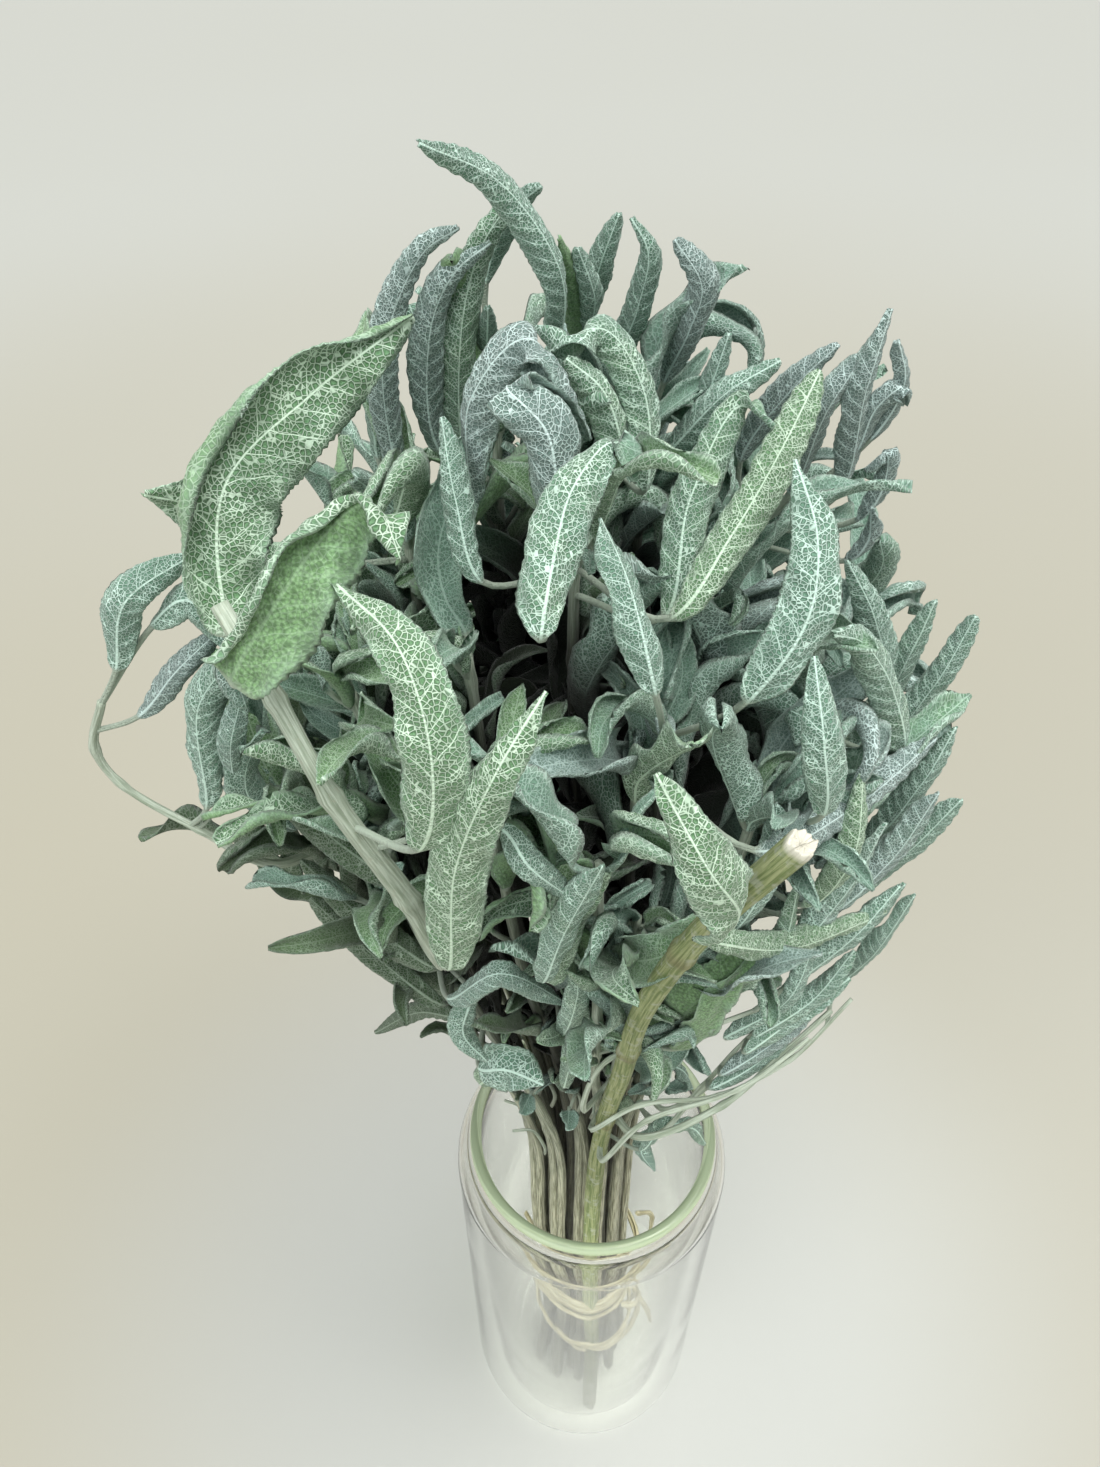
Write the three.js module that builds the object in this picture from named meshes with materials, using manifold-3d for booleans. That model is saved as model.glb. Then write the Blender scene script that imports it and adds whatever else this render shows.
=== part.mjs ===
// A bunch of dried garden sage, tied with raffia and standing in a clear glass jar.
// Millimetres, +Z up. The origin is the centre of the flat underside of the jar, and the front is -Y.
import * as THREE from 'three';
import { mergeVertices } from 'three/addons/utils/BufferGeometryUtils.js';
import Module from 'manifold-3d';

const wasm = await Module();
wasm.setup();

// Jar
const JAR_HEIGHT = 170;
const JAR_RADIUS = 40.5;
const MOUTH_RADIUS = 36;
const WALL = 2.4;
const FOOT_RADIUS = 27;
const FLOOR = 4;
const WELL_RADIUS = 25;
const WELL_BEND = 8;
const THICK_BELOW = 70;
const SHOULDER = 16;
const SHOULDER_TOP = 164;
const JAR_SIDES = 30;

// Bundle and stems
const STEM_COUNT = 26;
const STEM_RADIUS = 1.9;
const STEM_SIDES = 5;
const TRIED_STEMS = 8;
const STALK_RADIUS = 2.7;
const GOLDEN_ANGLE = 2.39996;
const LOWEST_LEAF = 196;
const TALLEST_STEM = 384;
const EDGE_DROP = 84;
const UNEVEN_TIPS = 14;
const UNEVEN_FEET = 5;

// Raffia tie
const TIE_HEIGHT = 90;
const STRAND_RADIUS = 0.9;
const STRAND_GAP = 3.2;
const STRAND_CLEARANCE = 0.5;
const BULGE = 5.4;
const BULGE_ANGLE = -1.46;
const BULGE_SPREAD = 0.48;
const KNOT_RADIUS = 3;
const KNOT_OUT = 2.2;
const TAIL_RADIUS = 0.8;

// Leaves
const BLADE_THICKNESS = 0.8;
const PETIOLE_RADIUS = 0.8;
const NECK = 3.2;
const LEAF_LENGTH = 40;
const LEAF_SPREAD = 20;
const SHORTENINGS = [1, 0.86, 0.72, 0.58];
const NODE_SPACING = 40;
const TOP_NODE = 5;
const CLEARANCE = 0.35;
const ROOT_STEPS = 40;
const LOWEST_ROOT = 8;
const WELD = 0.01;

// How the bundle runs from its cut ends to its tips: height, centre in x and y, half-width in x and y
const BUNDLE = [
  [6, 0, -7, 17, 15],
  [40, 0, -7, 15, 14],
  [62, 0, -6, 14, 13.5],
  [115, -2, 1, 15.5, 14.5],
  [165, -2, 9, 18, 16],
  [200, -3, 15, 29, 25],
  [240, -5, 20, 44, 37],
  [290, -8, 24, 60, 49],
  [340, -10, 27, 70, 56],
  [400, -10, 31, 74, 58],
];

// Leaves that show at the front: width, then the places that the blade runs through from base to tip
const SHOWN_LEAVES = [
  // tall leaves at the top, the first arching over to the left
  [5.5, [-12, 36, 390], [-11, 30, 406], [-20, 26, 421], [-31, 18, 429]],
  [4, [-8, 44, 386], [-8, 36, 402], [-11, 32, 411]],
  [4, [-5, 46, 385], [-5, 36, 400], [-8, 33, 409]],
  [5, [-6, 48, 388], [-4, 42, 402], [-1, 40, 412]],
  [5, [0, 46, 380], [3, 40, 396], [4, 37, 407], [1, 38, 412]],
  [5.5, [9, 44, 380], [12, 36, 394], [13, 33, 403], [8, 34, 410]],
  [4, [14, 34, 374], [16, 30, 387], [18, 30, 396]],
  [3.5, [-24, 40, 384], [-23, 31, 400]],
  [4, [-24, 46, 398], [-18, 40, 413], [-14, 38, 417]],
  // tall leaves left of the middle
  [5.5, [-41, 30, 366], [-41, 28, 393], [-33, 28, 410], [-27, 28, 414]],
  [6.5, [-33, 36, 370], [-33, 30, 396], [-28, 28, 407], [-22, 30, 411]],
  [6.5, [-28, 38, 366], [-28, 32, 394], [-24, 32, 409], [-19, 34, 416]],
  [5, [-24, 0, 366], [-28, 5, 379], [-30, 12, 390]],
  [5, [-46, 40, 366], [-44, 34, 384], [-40, 30, 398]],
  // curled leaves in the middle
  [7.5, [-27, 14, 372], [-25, 12, 393], [-16, 12, 403], [-6, 10, 387]],
  [9, [-11, 0, 376], [-13, 0, 394], [-19, 4, 399], [-8, 8, 392]],
  [9, [-14, -24, 373], [-12, -16, 382], [-9, -8, 389], [-3, -2, 393], [0, -6, 389]],
  [6.5, [4, 16, 374], [3, 18, 391], [-4, 20, 401], [-13, 18, 398]],
  [6.5, [0, 16, 380], [-4, 15, 393], [-10, 16, 398]],
  [6.5, [4, -24, 362], [-1, -18, 379], [-5, -10, 385]],
  // long leaves at the upper left, folded along their ribs
  [14, [-65, -10, 362], [-64, 0, 384], [-50, 10, 395], [-34, 18, 404]],
  [12.5, [-64, 16, 358], [-72, 10, 374], [-79, 5, 380]],
  [13, [-60, -26, 366], [-53, -20, 379], [-45, -12, 386], [-44, -2, 388]],
  [10.5, [-33, -42, 346], [-29, -44, 369], [-33, -36, 381], [-43, -24, 383]],
  [10.5, [-31, -38, 308], [-27, -44, 344], [-20, -45, 366], [-13, -38, 375]],
  // small leaves that hang at the far left
  [7.5, [-83, 0, 309], [-78, 0, 338], [-70, 2, 346], [-68, 5, 326]],
  [5, [-78, 2, 312], [-73, -3, 331], [-69, 0, 342]],
  [7.5, [-94, 5, 342], [-88, 5, 358], [-77, 12, 363]],
  [6.5, [-86, 8, 350], [-78, 8, 356], [-72, 6, 346]],
  [5, [-93, 5, 330], [-83, 6, 341], [-75, 8, 348]],
  // leaves of the upper right
  [5.5, [8, 30, 372], [18, 26, 387], [27, 28, 392]],
  [8, [7, -2, 360], [11, 8, 377], [19, 16, 390], [24, 12, 388]],
  [7.5, [7, -10, 366], [17, -2, 377], [26, 10, 387], [32, 20, 394]],
  [10, [20, -17, 354], [28, -15, 370], [29, -8, 380], [26, 2, 388]],
  [5.5, [24, 36, 368], [31, 30, 387], [37, 30, 394]],
  [5.5, [34, 34, 362], [36, 26, 384], [41, 28, 393]],
  [5.5, [42, 32, 362], [42, 26, 388], [44, 28, 401]],
  // leaves of the right side
  [7.5, [56, 2, 322], [50, -2, 343], [41, -5, 357], [35, -8, 361]],
  [5.5, [53, 14, 306], [64, 13, 330], [69, 15, 347]],
  [5.5, [50, 14, 310], [57, 11, 342], [59, 12, 353]],
  [6.5, [54, 12, 328], [48, 10, 350], [41, 12, 362]],
  [7.5, [35, -24, 334], [32, -24, 352], [30, -16, 363]],
  [6.5, [23, -28, 329], [43, -15, 325], [62, 0, 329]],
  [5, [58, 0, 240], [64, -2, 262], [69, 0, 280]],
  [6.5, [16, -32, 308], [35, -24, 294], [59, -10, 287]],
  [9, [16, -22, 252], [25, -25, 283], [34, -22, 292]],
  // curly leaf over the cut stalk, and small leaves below the middle
  [10.5, [13, -48, 322], [16, -54, 346], [10, -50, 359], [4, -40, 362]],
  [6.5, [-14, -34, 298], [-10, -38, 319], [-4, -38, 337]],
  [5.5, [-21, -34, 342], [-16, -38, 337], [-9, -36, 326]],
  [5.5, [-10, -24, 262], [-7, -30, 288], [-8, -30, 301]],
  [5, [-9, -16, 224], [-7, -21, 250], [-5, -23, 271]],
  [5.5, [-34, -24, 276], [-22, -30, 294], [-9, -26, 277]],
  [7.5, [-30, -11, 216], [-22, -18, 236], [-15, -17, 234]],
  // dark leaves low on the left
  [6.5, [-36, -18, 264], [-50, -12, 272], [-65, -4, 284]],
  [6.5, [-36, -22, 284], [-50, -14, 288], [-65, -4, 297]],
  [5, [-34, -9, 244], [-44, -5, 240], [-58, 0, 222]],
  [7.5, [-42, -16, 304], [-54, -10, 309], [-67, -2, 316]],
];

// Side shoots that leave the bunch: radius, then the places that each runs through
const SHOOTS = [
  [2.2, [-34, -26, 293], [-38, -31, 319], [-48, -31, 346], [-56, -23, 360], [-65, -12, 370]],
  [1.1, [-73, 0, 291], [-87, 2, 300], [-101, 4, 312], [-104, 5, 321], [-99, 5, 334]],
  [1.0, [10, -20, 205], [31, -18, 218], [46, -10, 230], [57, -4, 239]],
];

// The cut stalk: the places it runs through above the bundle
const STALK_TOP = [[2, -16, 208], [4, -24, 244], [6, -34, 288], [13, -44, 328], [24, -48, 354]];

/** A number from 0 to 1 that varies evenly as n goes up by one. */
function vary(n) {
  return (n * 0.618034) % 1;
}

/** Joins a geometry's shared corners and makes it a solid that can be joined and cut. */
function toSolid(geometry) {
  const bare = geometry.clone();
  bare.deleteAttribute('normal');
  bare.deleteAttribute('uv');
  const merged = mergeVertices(bare, 1e-4);
  const vertProperties = new Float32Array(merged.attributes.position.array);
  const triVerts = new Uint32Array(merged.index.array);
  return new wasm.Manifold(new wasm.Mesh({ numProp: 3, vertProperties, triVerts }));
}

/** Turns a solid back into a geometry. */
function toGeometry(solid) {
  const mesh = solid.getMesh();
  const geometry = new THREE.BufferGeometry();
  geometry.setAttribute('position', new THREE.BufferAttribute(mesh.vertProperties, 3));
  geometry.setIndex(new THREE.BufferAttribute(mesh.triVerts, 1));
  geometry.computeVertexNormals();
  return geometry;
}

/** A smooth curve through a list of places. */
function curveThrough(places) {
  const points = places.map((place) => new THREE.Vector3(...place));
  return new THREE.CatmullRomCurve3(points, false, 'centripetal');
}

/** A round bar of one radius along a curve. */
function bar(curve, radius, sides, steps) {
  const corners = [];
  for (let i = 0; i < sides; i += 1) {
    const angle = (i / sides) * 2 * Math.PI;
    corners.push(new THREE.Vector2(radius * Math.cos(angle), radius * Math.sin(angle)));
  }
  const options = { steps, bevelEnabled: false, extrudePath: curve };
  return new THREE.ExtrudeGeometry(new THREE.Shape(corners), options);
}

/** The bundle at a height, with the centre and half-widths between the listed heights in proportion. */
function bundleAt(height) {
  const last = BUNDLE.length - 2;
  const found = BUNDLE.findIndex((row) => row[0] > height);
  const i = Math.min(found < 1 ? last : found - 1, last);
  const share = (height - BUNDLE[i][0]) / (BUNDLE[i + 1][0] - BUNDLE[i][0]);
  return BUNDLE[i].map((value, k) => value + share * (BUNDLE[i + 1][k] - value));
}

/** Where a stem with a slot in the bundle, given as shares of the half-widths, stands at a height. */
function stemPlace(slot, height) {
  const [, x, y, halfX, halfY] = bundleAt(height);
  return [x + slot[0] * halfX, y + slot[1] * halfY, height];
}

/** The slots of the stems, spread evenly over a unit disc like seeds in a head. */
function stemSlots() {
  const slots = [];
  for (let i = 0; i < STEM_COUNT; i += 1) {
    const out = Math.sqrt((i + 0.5) / STEM_COUNT);
    slots.push([out * Math.cos(i * GOLDEN_ANGLE), out * Math.sin(i * GOLDEN_ANGLE)]);
  }
  return slots;
}

/** One stem's curve, from its cut end in the jar to its tip, which is lower towards the outside. */
function stemCurve(slot, i) {
  const out = Math.hypot(...slot);
  const tip = TALLEST_STEM - EDGE_DROP * out ** 1.5 + UNEVEN_TIPS * (vary(i) - 0.5);
  const foot = BUNDLE[0][0] + UNEVEN_FEET * vary(i + 3);
  const between = BUNDLE.map((row) => row[0]).filter((z) => z > foot + 10 && z < tip - 20);
  return curveThrough([foot, ...between, tip].map((height) => stemPlace(slot, height)));
}

/**
 * A leaf: a stalk from its root to the blade's base, then a blade keeled along its rib.
 * A ball of rings of three corners is carried along the curve; the first corner is the rib.
 */
function leafGeometry(root, places, width, face, extra) {
  const curve = curveThrough(places);
  const base = curve.getPoint(0);
  const start = new THREE.Vector3(...root);
  const neck = start.clone().lerp(base, Math.min(0.4, NECK / start.distanceTo(base)));
  const rings = [
    { at: start, along: 0, half: 0 },
    { at: neck, along: 0, half: PETIOLE_RADIUS },
    { at: base, along: 0, half: PETIOLE_RADIUS },
    { at: curve.getPoint(0.3), along: 0.3, half: width * 0.44 },
    { at: curve.getPoint(0.62), along: 0.62, half: width * 0.5 },
    { at: curve.getPoint(0.86), along: 0.86, half: width * 0.3 },
    { at: curve.getPoint(1), along: 1, half: 0 },
  ];
  const ball = new THREE.SphereGeometry(1, 3, rings.length - 1, Math.PI / 2);
  const corner = ball.attributes.position;
  for (let i = 0; i < corner.count; i += 1) {
    const fromPole = Math.acos(THREE.MathUtils.clamp(corner.getY(i), -1, 1)) / Math.PI;
    const k = Math.round(fromPole * (rings.length - 1));
    const ring = rings[k];
    const along = k < 3 ? base.clone().sub(start).normalize() : curve.getTangent(ring.along);
    const side = new THREE.Vector3().crossVectors(along, face).normalize();
    const up = new THREE.Vector3().crossVectors(side, along).normalize();
    const round = Math.hypot(corner.getX(i), corner.getZ(i)) || 1;
    const across = ring.half > 0 ? -(ring.half + extra) * (corner.getX(i) / round) : 0;
    const deep = ring.half > 0 ? (BLADE_THICKNESS + extra) * (corner.getZ(i) / round) : 0;
    const place = ring.at.clone().addScaledVector(side, across).addScaledVector(up, deep);
    corner.setXYZ(i, place.x, place.y, place.z);
  }
  return ball;
}

/** Puts a leaf's places closer to its base, so that it is as long as the share says. */
function shortened(places, share) {
  const base = places[0];
  return places.map((place) => place.map((value, k) => base[k] + share * (value - base[k])));
}

/** The jar: one glass shell, thick at its rounded foot, with a shoulder turned in to its rim. */
function jarGeometry() {
  const arc = (x, y, radius, from, to, steps) => {
    const points = [];
    for (let i = 0; i <= steps; i += 1) {
      const angle = THREE.MathUtils.degToRad(from + ((to - from) * i) / steps);
      points.push(new THREE.Vector2(x + radius * Math.cos(angle), y + radius * Math.sin(angle)));
    }
    return points;
  };
  const bend = JAR_RADIUS - FOOT_RADIUS;
  const turn = SHOULDER_TOP - SHOULDER * 0.6;
  const lip = WALL / 2 + 0.5;
  const profile = [
    new THREE.Vector2(0, 0),
    ...arc(FOOT_RADIUS, bend, bend, -90, 0, 5),
    ...arc(JAR_RADIUS - SHOULDER, turn, SHOULDER, 0, 38, 3),
    ...arc(MOUTH_RADIUS - lip, JAR_HEIGHT - lip, lip, 0, 180, 4),
    ...arc(JAR_RADIUS - SHOULDER, turn, SHOULDER - WALL, 38, 0, 3),
    new THREE.Vector2(JAR_RADIUS - WALL, THICK_BELOW),
    ...arc(WELL_RADIUS, FLOOR + WELL_BEND, WELL_BEND, 0, -90, 5),
    new THREE.Vector2(0, FLOOR),
  ];
  return new THREE.LatheGeometry(profile, JAR_SIDES).rotateX(Math.PI / 2);
}

/** One turn of raffia round the bundle: a ring that bulges over the stalk at the front. */
function strandGeometry(height) {
  const [, x, y, halfX, halfY] = bundleAt(height);
  const loop = new THREE.TorusGeometry(1, 0.5, 5, 30);
  const place = loop.attributes.position;
  for (let i = 0; i < place.count; i += 1) {
    const angle = Math.atan2(place.getY(i), place.getX(i));
    const away = Math.hypot(place.getX(i), place.getY(i)) - 1;
    const bulge = BULGE * Math.exp(-(((angle - BULGE_ANGLE) / BULGE_SPREAD) ** 2));
    const gap = STEM_RADIUS + STRAND_RADIUS + STRAND_CLEARANCE + bulge + 2 * STRAND_RADIUS * away;
    const rise = 2 * STRAND_RADIUS * place.getZ(i);
    place.setXYZ(i, x + (halfX + gap) * Math.cos(angle), y + (halfY + gap) * Math.sin(angle), height + rise);
  }
  return loop;
}

/** The raffia tie: two turns, drawn together in a knot with two loose tails. */
function tieSolid() {
  const low = TIE_HEIGHT;
  const high = TIE_HEIGHT + STRAND_GAP;
  const [, x, y, halfX] = bundleAt(low);
  const knotX = x + halfX + STEM_RADIUS + KNOT_OUT;
  const knotY = y - 6;
  const knot = new THREE.SphereGeometry(KNOT_RADIUS, 7, 5).translate(knotX, knotY, (low + high) / 2);
  const hanging = [[knotX, knotY, low], [knotX + 3, knotY - 4, low - 12], [knotX + 1, knotY - 7, low - 26]];
  const rising = [[knotX, knotY, high], [knotX + 4, knotY - 1, high + 14], [knotX + 2, knotY + 1, high + 30]];
  const tails = [hanging, rising].map((places) => bar(curveThrough(places), TAIL_RADIUS, 5, 4));
  const pieces = [strandGeometry(low), strandGeometry(high), knot, ...tails];
  return pieces.map(toSolid).reduce((whole, piece) => whole.add(piece));
}

/** The nearest place on a curve that lies below a given place, with its distance. */
function nearestRoot(curve, place) {
  const target = new THREE.Vector3(...place);
  let best = { distance: Infinity };
  for (let i = LOWEST_ROOT; i < ROOT_STEPS; i += 1) {
    const point = curve.getPoint(i / ROOT_STEPS);
    const distance = point.distanceTo(target) + 2 * Math.max(0, point.z - target.z + 4);
    if (distance < best.distance) best = { distance, point };
  }
  return best;
}

/** Whether a solid is clear of every solid of the other sprigs. */
function isClear(solid, placed, own) {
  const box = solid.boundingBox();
  return placed.every((other) => {
    const apart = [0, 1, 2].some((k) => box.min[k] > other.box.max[k] || box.max[k] < other.box.min[k]);
    return other.sprig === own || apart || solid.intersect(other.solid).isEmpty();
  });
}

const placed = [];

/** Keeps a solid as part of a sprig, with its box, so that later leaves can be kept clear of it. */
function keep(solid, sprig) {
  placed.push({ solid, sprig, box: solid.boundingBox() });
}

/** Adds a leaf to the sprig, shortened until it is clear of its neighbours, and says if one fitted. */
function tryLeaf(sprig, root, places, width, face) {
  for (const share of SHORTENINGS) {
    const shorter = shortened(places, share);
    if (isClear(toSolid(leafGeometry(root, shorter, width, face, CLEARANCE)), placed, sprig)) {
      keep(toSolid(leafGeometry(root, shorter, width, face, 0)), sprig);
      return true;
    }
  }
  return false;
}

/** The leaves of one stem by the plant's own habit: opposite pairs, each pair turned from the last. */
function habitLeaves(curve, i) {
  const leaves = [];
  const length = curve.getLength();
  const tip = curve.getPoint(1);
  const count = Math.floor((tip.z - LOWEST_LEAF) / NODE_SPACING);
  for (let j = 0; j <= count; j += 1) {
    const share = 1 - (TOP_NODE + j * NODE_SPACING) / length;
    const at = curve.getPointAt(share);
    const along = curve.getTangentAt(share);
    const right = new THREE.Vector3(0, -1, 0).cross(along).normalize();
    const away = new THREE.Vector3().crossVectors(along, right);
    for (const side of [0, 1]) {
      const n = 40 * i + 2 * j + side;
      const angle = Math.PI * (side + 0.5 * j + 0.35 * i) + 0.8 * (vary(n) - 0.5);
      const out = right.clone().multiplyScalar(Math.cos(angle)).addScaledVector(away, Math.sin(angle));
      const size = (j === 0 ? 0.8 : 1) * LEAF_LENGTH + LEAF_SPREAD * vary(n + 5);
      const base = at.clone().addScaledVector(out, 6).addScaledVector(along, 9);
      const middle = base.clone().addScaledVector(out, 0.2 * size).addScaledVector(along, 0.46 * size);
      const bend = 0.1 + 0.3 * vary(n + 9);
      const end = middle.clone().addScaledVector(out, bend * size);
      end.addScaledVector(along, (0.5 - 0.6 * bend) * size);
      const places = [base.toArray(), middle.toArray(), end.toArray()];
      leaves.push({ root: at.toArray(), places, width: size * (0.15 + 0.06 * vary(n + 2)), face: out });
    }
  }
  return leaves;
}

const FRONT = new THREE.Vector3(0.1, -0.8, 0.6);

const slots = stemSlots();
const curves = slots.map(stemCurve);
keep(toSolid(jarGeometry()), 'jar');
keep(tieSolid(), 'tie');
curves.forEach((curve, i) => keep(toSolid(bar(curve, STEM_RADIUS, STEM_SIDES, 10)), i));

/** The cut stalk stands at the very front of the bundle and leans out of it. */
const stalkFeet = [7, 40, 62, 115, 165].map((height) => stemPlace([0.14, -1.32], height));
const stalkCurve = curveThrough([...stalkFeet, ...STALK_TOP]);
keep(toSolid(bar(stalkCurve, STALK_RADIUS, 8, 14)), 'stalk');

/** Joins a side shoot to the first stem from which it is clear of everything else. */
function addShoot([radius, ...places]) {
  const order = curves.map((curve, i) => ({ i, ...nearestRoot(curve, places[0]) }));
  order.sort((a, b) => a.distance - b.distance);
  for (const { i, point } of order.slice(0, TRIED_STEMS)) {
    const curve = curveThrough([point.toArray(), ...places]);
    if (isClear(toSolid(bar(curve, radius + CLEARANCE, STEM_SIDES, 12)), placed, i)) {
      keep(toSolid(bar(curve, radius, STEM_SIDES, 12)), i);
      return { curve, sprig: i };
    }
  }
  return null;
}

const shoots = SHOOTS.map(addShoot).filter(Boolean);
const carriers = [...curves.map((curve, i) => ({ curve, sprig: i })), ...shoots];

for (const [width, ...places] of SHOWN_LEAVES) {
  const order = carriers.map(({ curve, sprig }) => ({ sprig, ...nearestRoot(curve, places[0]) }));
  order.sort((a, b) => a.distance - b.distance);
  const near = order.slice(0, TRIED_STEMS);
  near.some(({ sprig, point }) => tryLeaf(sprig, point.toArray(), places, width, FRONT));
}

curves.forEach((curve, i) => {
  for (const leaf of habitLeaves(curve, i)) {
    tryLeaf(i, leaf.root, leaf.places, leaf.width, leaf.face);
  }
});

/** A named mesh with a finish of its own. */
function named(name, geometry, color, roughness, metalness = 0) {
  const mesh = new THREE.Mesh(geometry, new THREE.MeshStandardMaterial({ color, roughness, metalness }));
  mesh.name = name;
  return mesh;
}

/** The largest of a solid's separate shells. */
function largestShell(solid) {
  return solid.decompose().sort((a, b) => b.volume() - a.volume())[0];
}

/** Joins everything that one sprig, or one made piece, is made of, and fills any pocket shut inside it. */
function joined(sprig) {
  const solids = placed.filter((piece) => piece.sprig === sprig).map((piece) => piece.solid);
  const whole = largestShell(solids.reduce((sum, solid) => sum.add(solid)));
  return toGeometry(largestShell(whole.simplify(WELD)));
}

const bunch = new THREE.Group();
bunch.add(named('glass_jar', joined('jar'), 0xdfe8dc, 0.05));
bunch.add(named('raffia_tie', joined('tie'), 0xc9b98a, 0.8));
bunch.add(named('cut_stalk', joined('stalk'), 0x8a8f4e, 0.7));
curves.forEach((curve, i) => {
  const name = `sprig_${String(i + 1).padStart(2, '0')}`;
  bunch.add(named(name, joined(i), i % 2 ? 0x8fa595 : 0x9aa88a, 0.9));
});

export default bunch;
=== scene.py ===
import math

import bpy
import numpy as np
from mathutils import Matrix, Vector


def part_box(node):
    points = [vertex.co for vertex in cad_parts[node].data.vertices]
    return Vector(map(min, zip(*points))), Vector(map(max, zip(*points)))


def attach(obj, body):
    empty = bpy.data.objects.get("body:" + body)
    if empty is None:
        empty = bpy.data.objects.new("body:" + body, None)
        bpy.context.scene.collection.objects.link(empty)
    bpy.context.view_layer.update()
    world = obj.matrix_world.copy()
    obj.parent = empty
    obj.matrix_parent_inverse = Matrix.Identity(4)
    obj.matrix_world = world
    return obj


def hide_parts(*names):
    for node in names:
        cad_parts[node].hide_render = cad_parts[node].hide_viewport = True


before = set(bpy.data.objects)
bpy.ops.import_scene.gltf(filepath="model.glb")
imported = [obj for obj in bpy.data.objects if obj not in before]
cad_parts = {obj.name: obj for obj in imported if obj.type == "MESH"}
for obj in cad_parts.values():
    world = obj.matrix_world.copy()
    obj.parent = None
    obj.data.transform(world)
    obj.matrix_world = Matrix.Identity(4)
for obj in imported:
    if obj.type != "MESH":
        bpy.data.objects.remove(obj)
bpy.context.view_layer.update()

# ---------------------------------------------------------------------------------------------
# Table, light and camera: a pale warm tabletop in soft overhead studio light, seen steeply from
# above and close to, as a person standing over the bunch sees it.
# ---------------------------------------------------------------------------------------------
EYE = Vector((-0.0125, -0.152, 0.477))
LOOKING_DOWN = 44
LENS = 27


def new_material(name):
    """A material without nodes, and its node tree."""
    material = bpy.data.materials.new(name)
    material.use_nodes = True
    tree = material.node_tree
    tree.nodes.clear()
    return material, tree


def add_node(tree, kind, settings=None, **values):
    """Adds a node; settings are its own properties, values fill its input sockets by name."""
    node = tree.nodes.new(kind)
    for key, value in (settings or {}).items():
        setattr(node, key, value)
    for key, value in values.items():
        socket = node.inputs[key.replace("_", " ")]
        if isinstance(value, bpy.types.NodeSocket):
            tree.links.new(value, socket)
        else:
            socket.default_value = value
    return node


def maths(tree, operation, *values, kind="ShaderNodeMath"):
    """One step of arithmetic on numbers or sockets."""
    node = tree.nodes.new(kind)
    node.operation = operation
    for socket, value in zip(node.inputs, values):
        if isinstance(value, bpy.types.NodeSocket):
            tree.links.new(value, socket)
        else:
            socket.default_value = value
    return node.outputs[0]


def blend(tree, share, first, second):
    """Mixes two colours by a share, which may be a socket."""
    node = tree.nodes.new("ShaderNodeMix")
    node.data_type = "RGBA"
    for socket, value in ((node.inputs[0], share), (node.inputs[6], first), (node.inputs[7], second)):
        if isinstance(value, bpy.types.NodeSocket):
            tree.links.new(value, socket)
        elif isinstance(value, tuple) and len(value) == 3:
            socket.default_value = (*value, 1)
        else:
            socket.default_value = value
    return node.outputs[2]


def soft_step(tree, value, low, high, start=0.0, end=1.0):
    """A smooth step: start below low, end above high."""
    node = tree.nodes.new("ShaderNodeMapRange")
    node.interpolation_type = "SMOOTHSTEP"
    for socket, number in zip(node.inputs[1:5], (low, high, start, end)):
        socket.default_value = number
    tree.links.new(value, node.inputs[0])
    return node.outputs[0]


def table_finish():
    """Smooth pale card: light grey, warmer in a wide uneven ring round the jar, with a fine tooth."""
    material, tree = new_material("pale_card")
    place = add_node(tree, "ShaderNodeTexCoord").outputs["Object"]
    patches = add_node(tree, "ShaderNodeTexNoise", Vector=place, Scale=1.3, Detail=1.0).outputs[0]
    tooth = add_node(tree, "ShaderNodeTexNoise", Vector=place, Scale=900.0, Detail=2.0).outputs[0]
    distance = add_node(tree, "ShaderNodeVectorMath", {"operation": "LENGTH"}, Vector=place).outputs["Value"]
    near, far = soft_step(tree, distance, 0.08, 0.26), soft_step(tree, distance, 0.4, 1.5, 1, 0.15)
    ring = maths(tree, "MULTIPLY", near, far)
    warm = maths(tree, "MULTIPLY", ring, soft_step(tree, patches, 0.2, 0.6, 0.6, 1))
    colour = blend(tree, warm, (0.452, 0.468, 0.44), (0.388, 0.374, 0.30))
    bump = add_node(tree, "ShaderNodeBump", Height=tooth, Strength=0.05, Distance=0.0002)
    surface = add_node(
        tree, "ShaderNodeBsdfPrincipled", Base_Color=colour, Roughness=0.6, Normal=bump.outputs[0])
    add_node(tree, "ShaderNodeOutputMaterial", Surface=surface.outputs[0])
    return material


table_mesh = bpy.data.meshes.new("table")
table_mesh.from_pydata([(-4, -4, 0), (4, -4, 0), (4, 4, 0), (-4, 4, 0)], [], [(0, 1, 2, 3)])
table_mesh.materials.append(table_finish())
table = bpy.data.objects.new("table", table_mesh)
bpy.context.scene.collection.objects.link(table)


def soft_sun(name, direction, spread, power, colour):
    """Even light from one direction over the whole table, as soft as its spread in degrees."""
    lamp = bpy.data.lights.new(name, "SUN")
    lamp.angle = math.radians(spread)
    lamp.energy = power
    lamp.color = colour
    holder = bpy.data.objects.new(name, lamp)
    holder.rotation_euler = Vector(direction).to_track_quat("-Z", "Y").to_euler()
    bpy.context.scene.collection.objects.link(holder)


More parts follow.
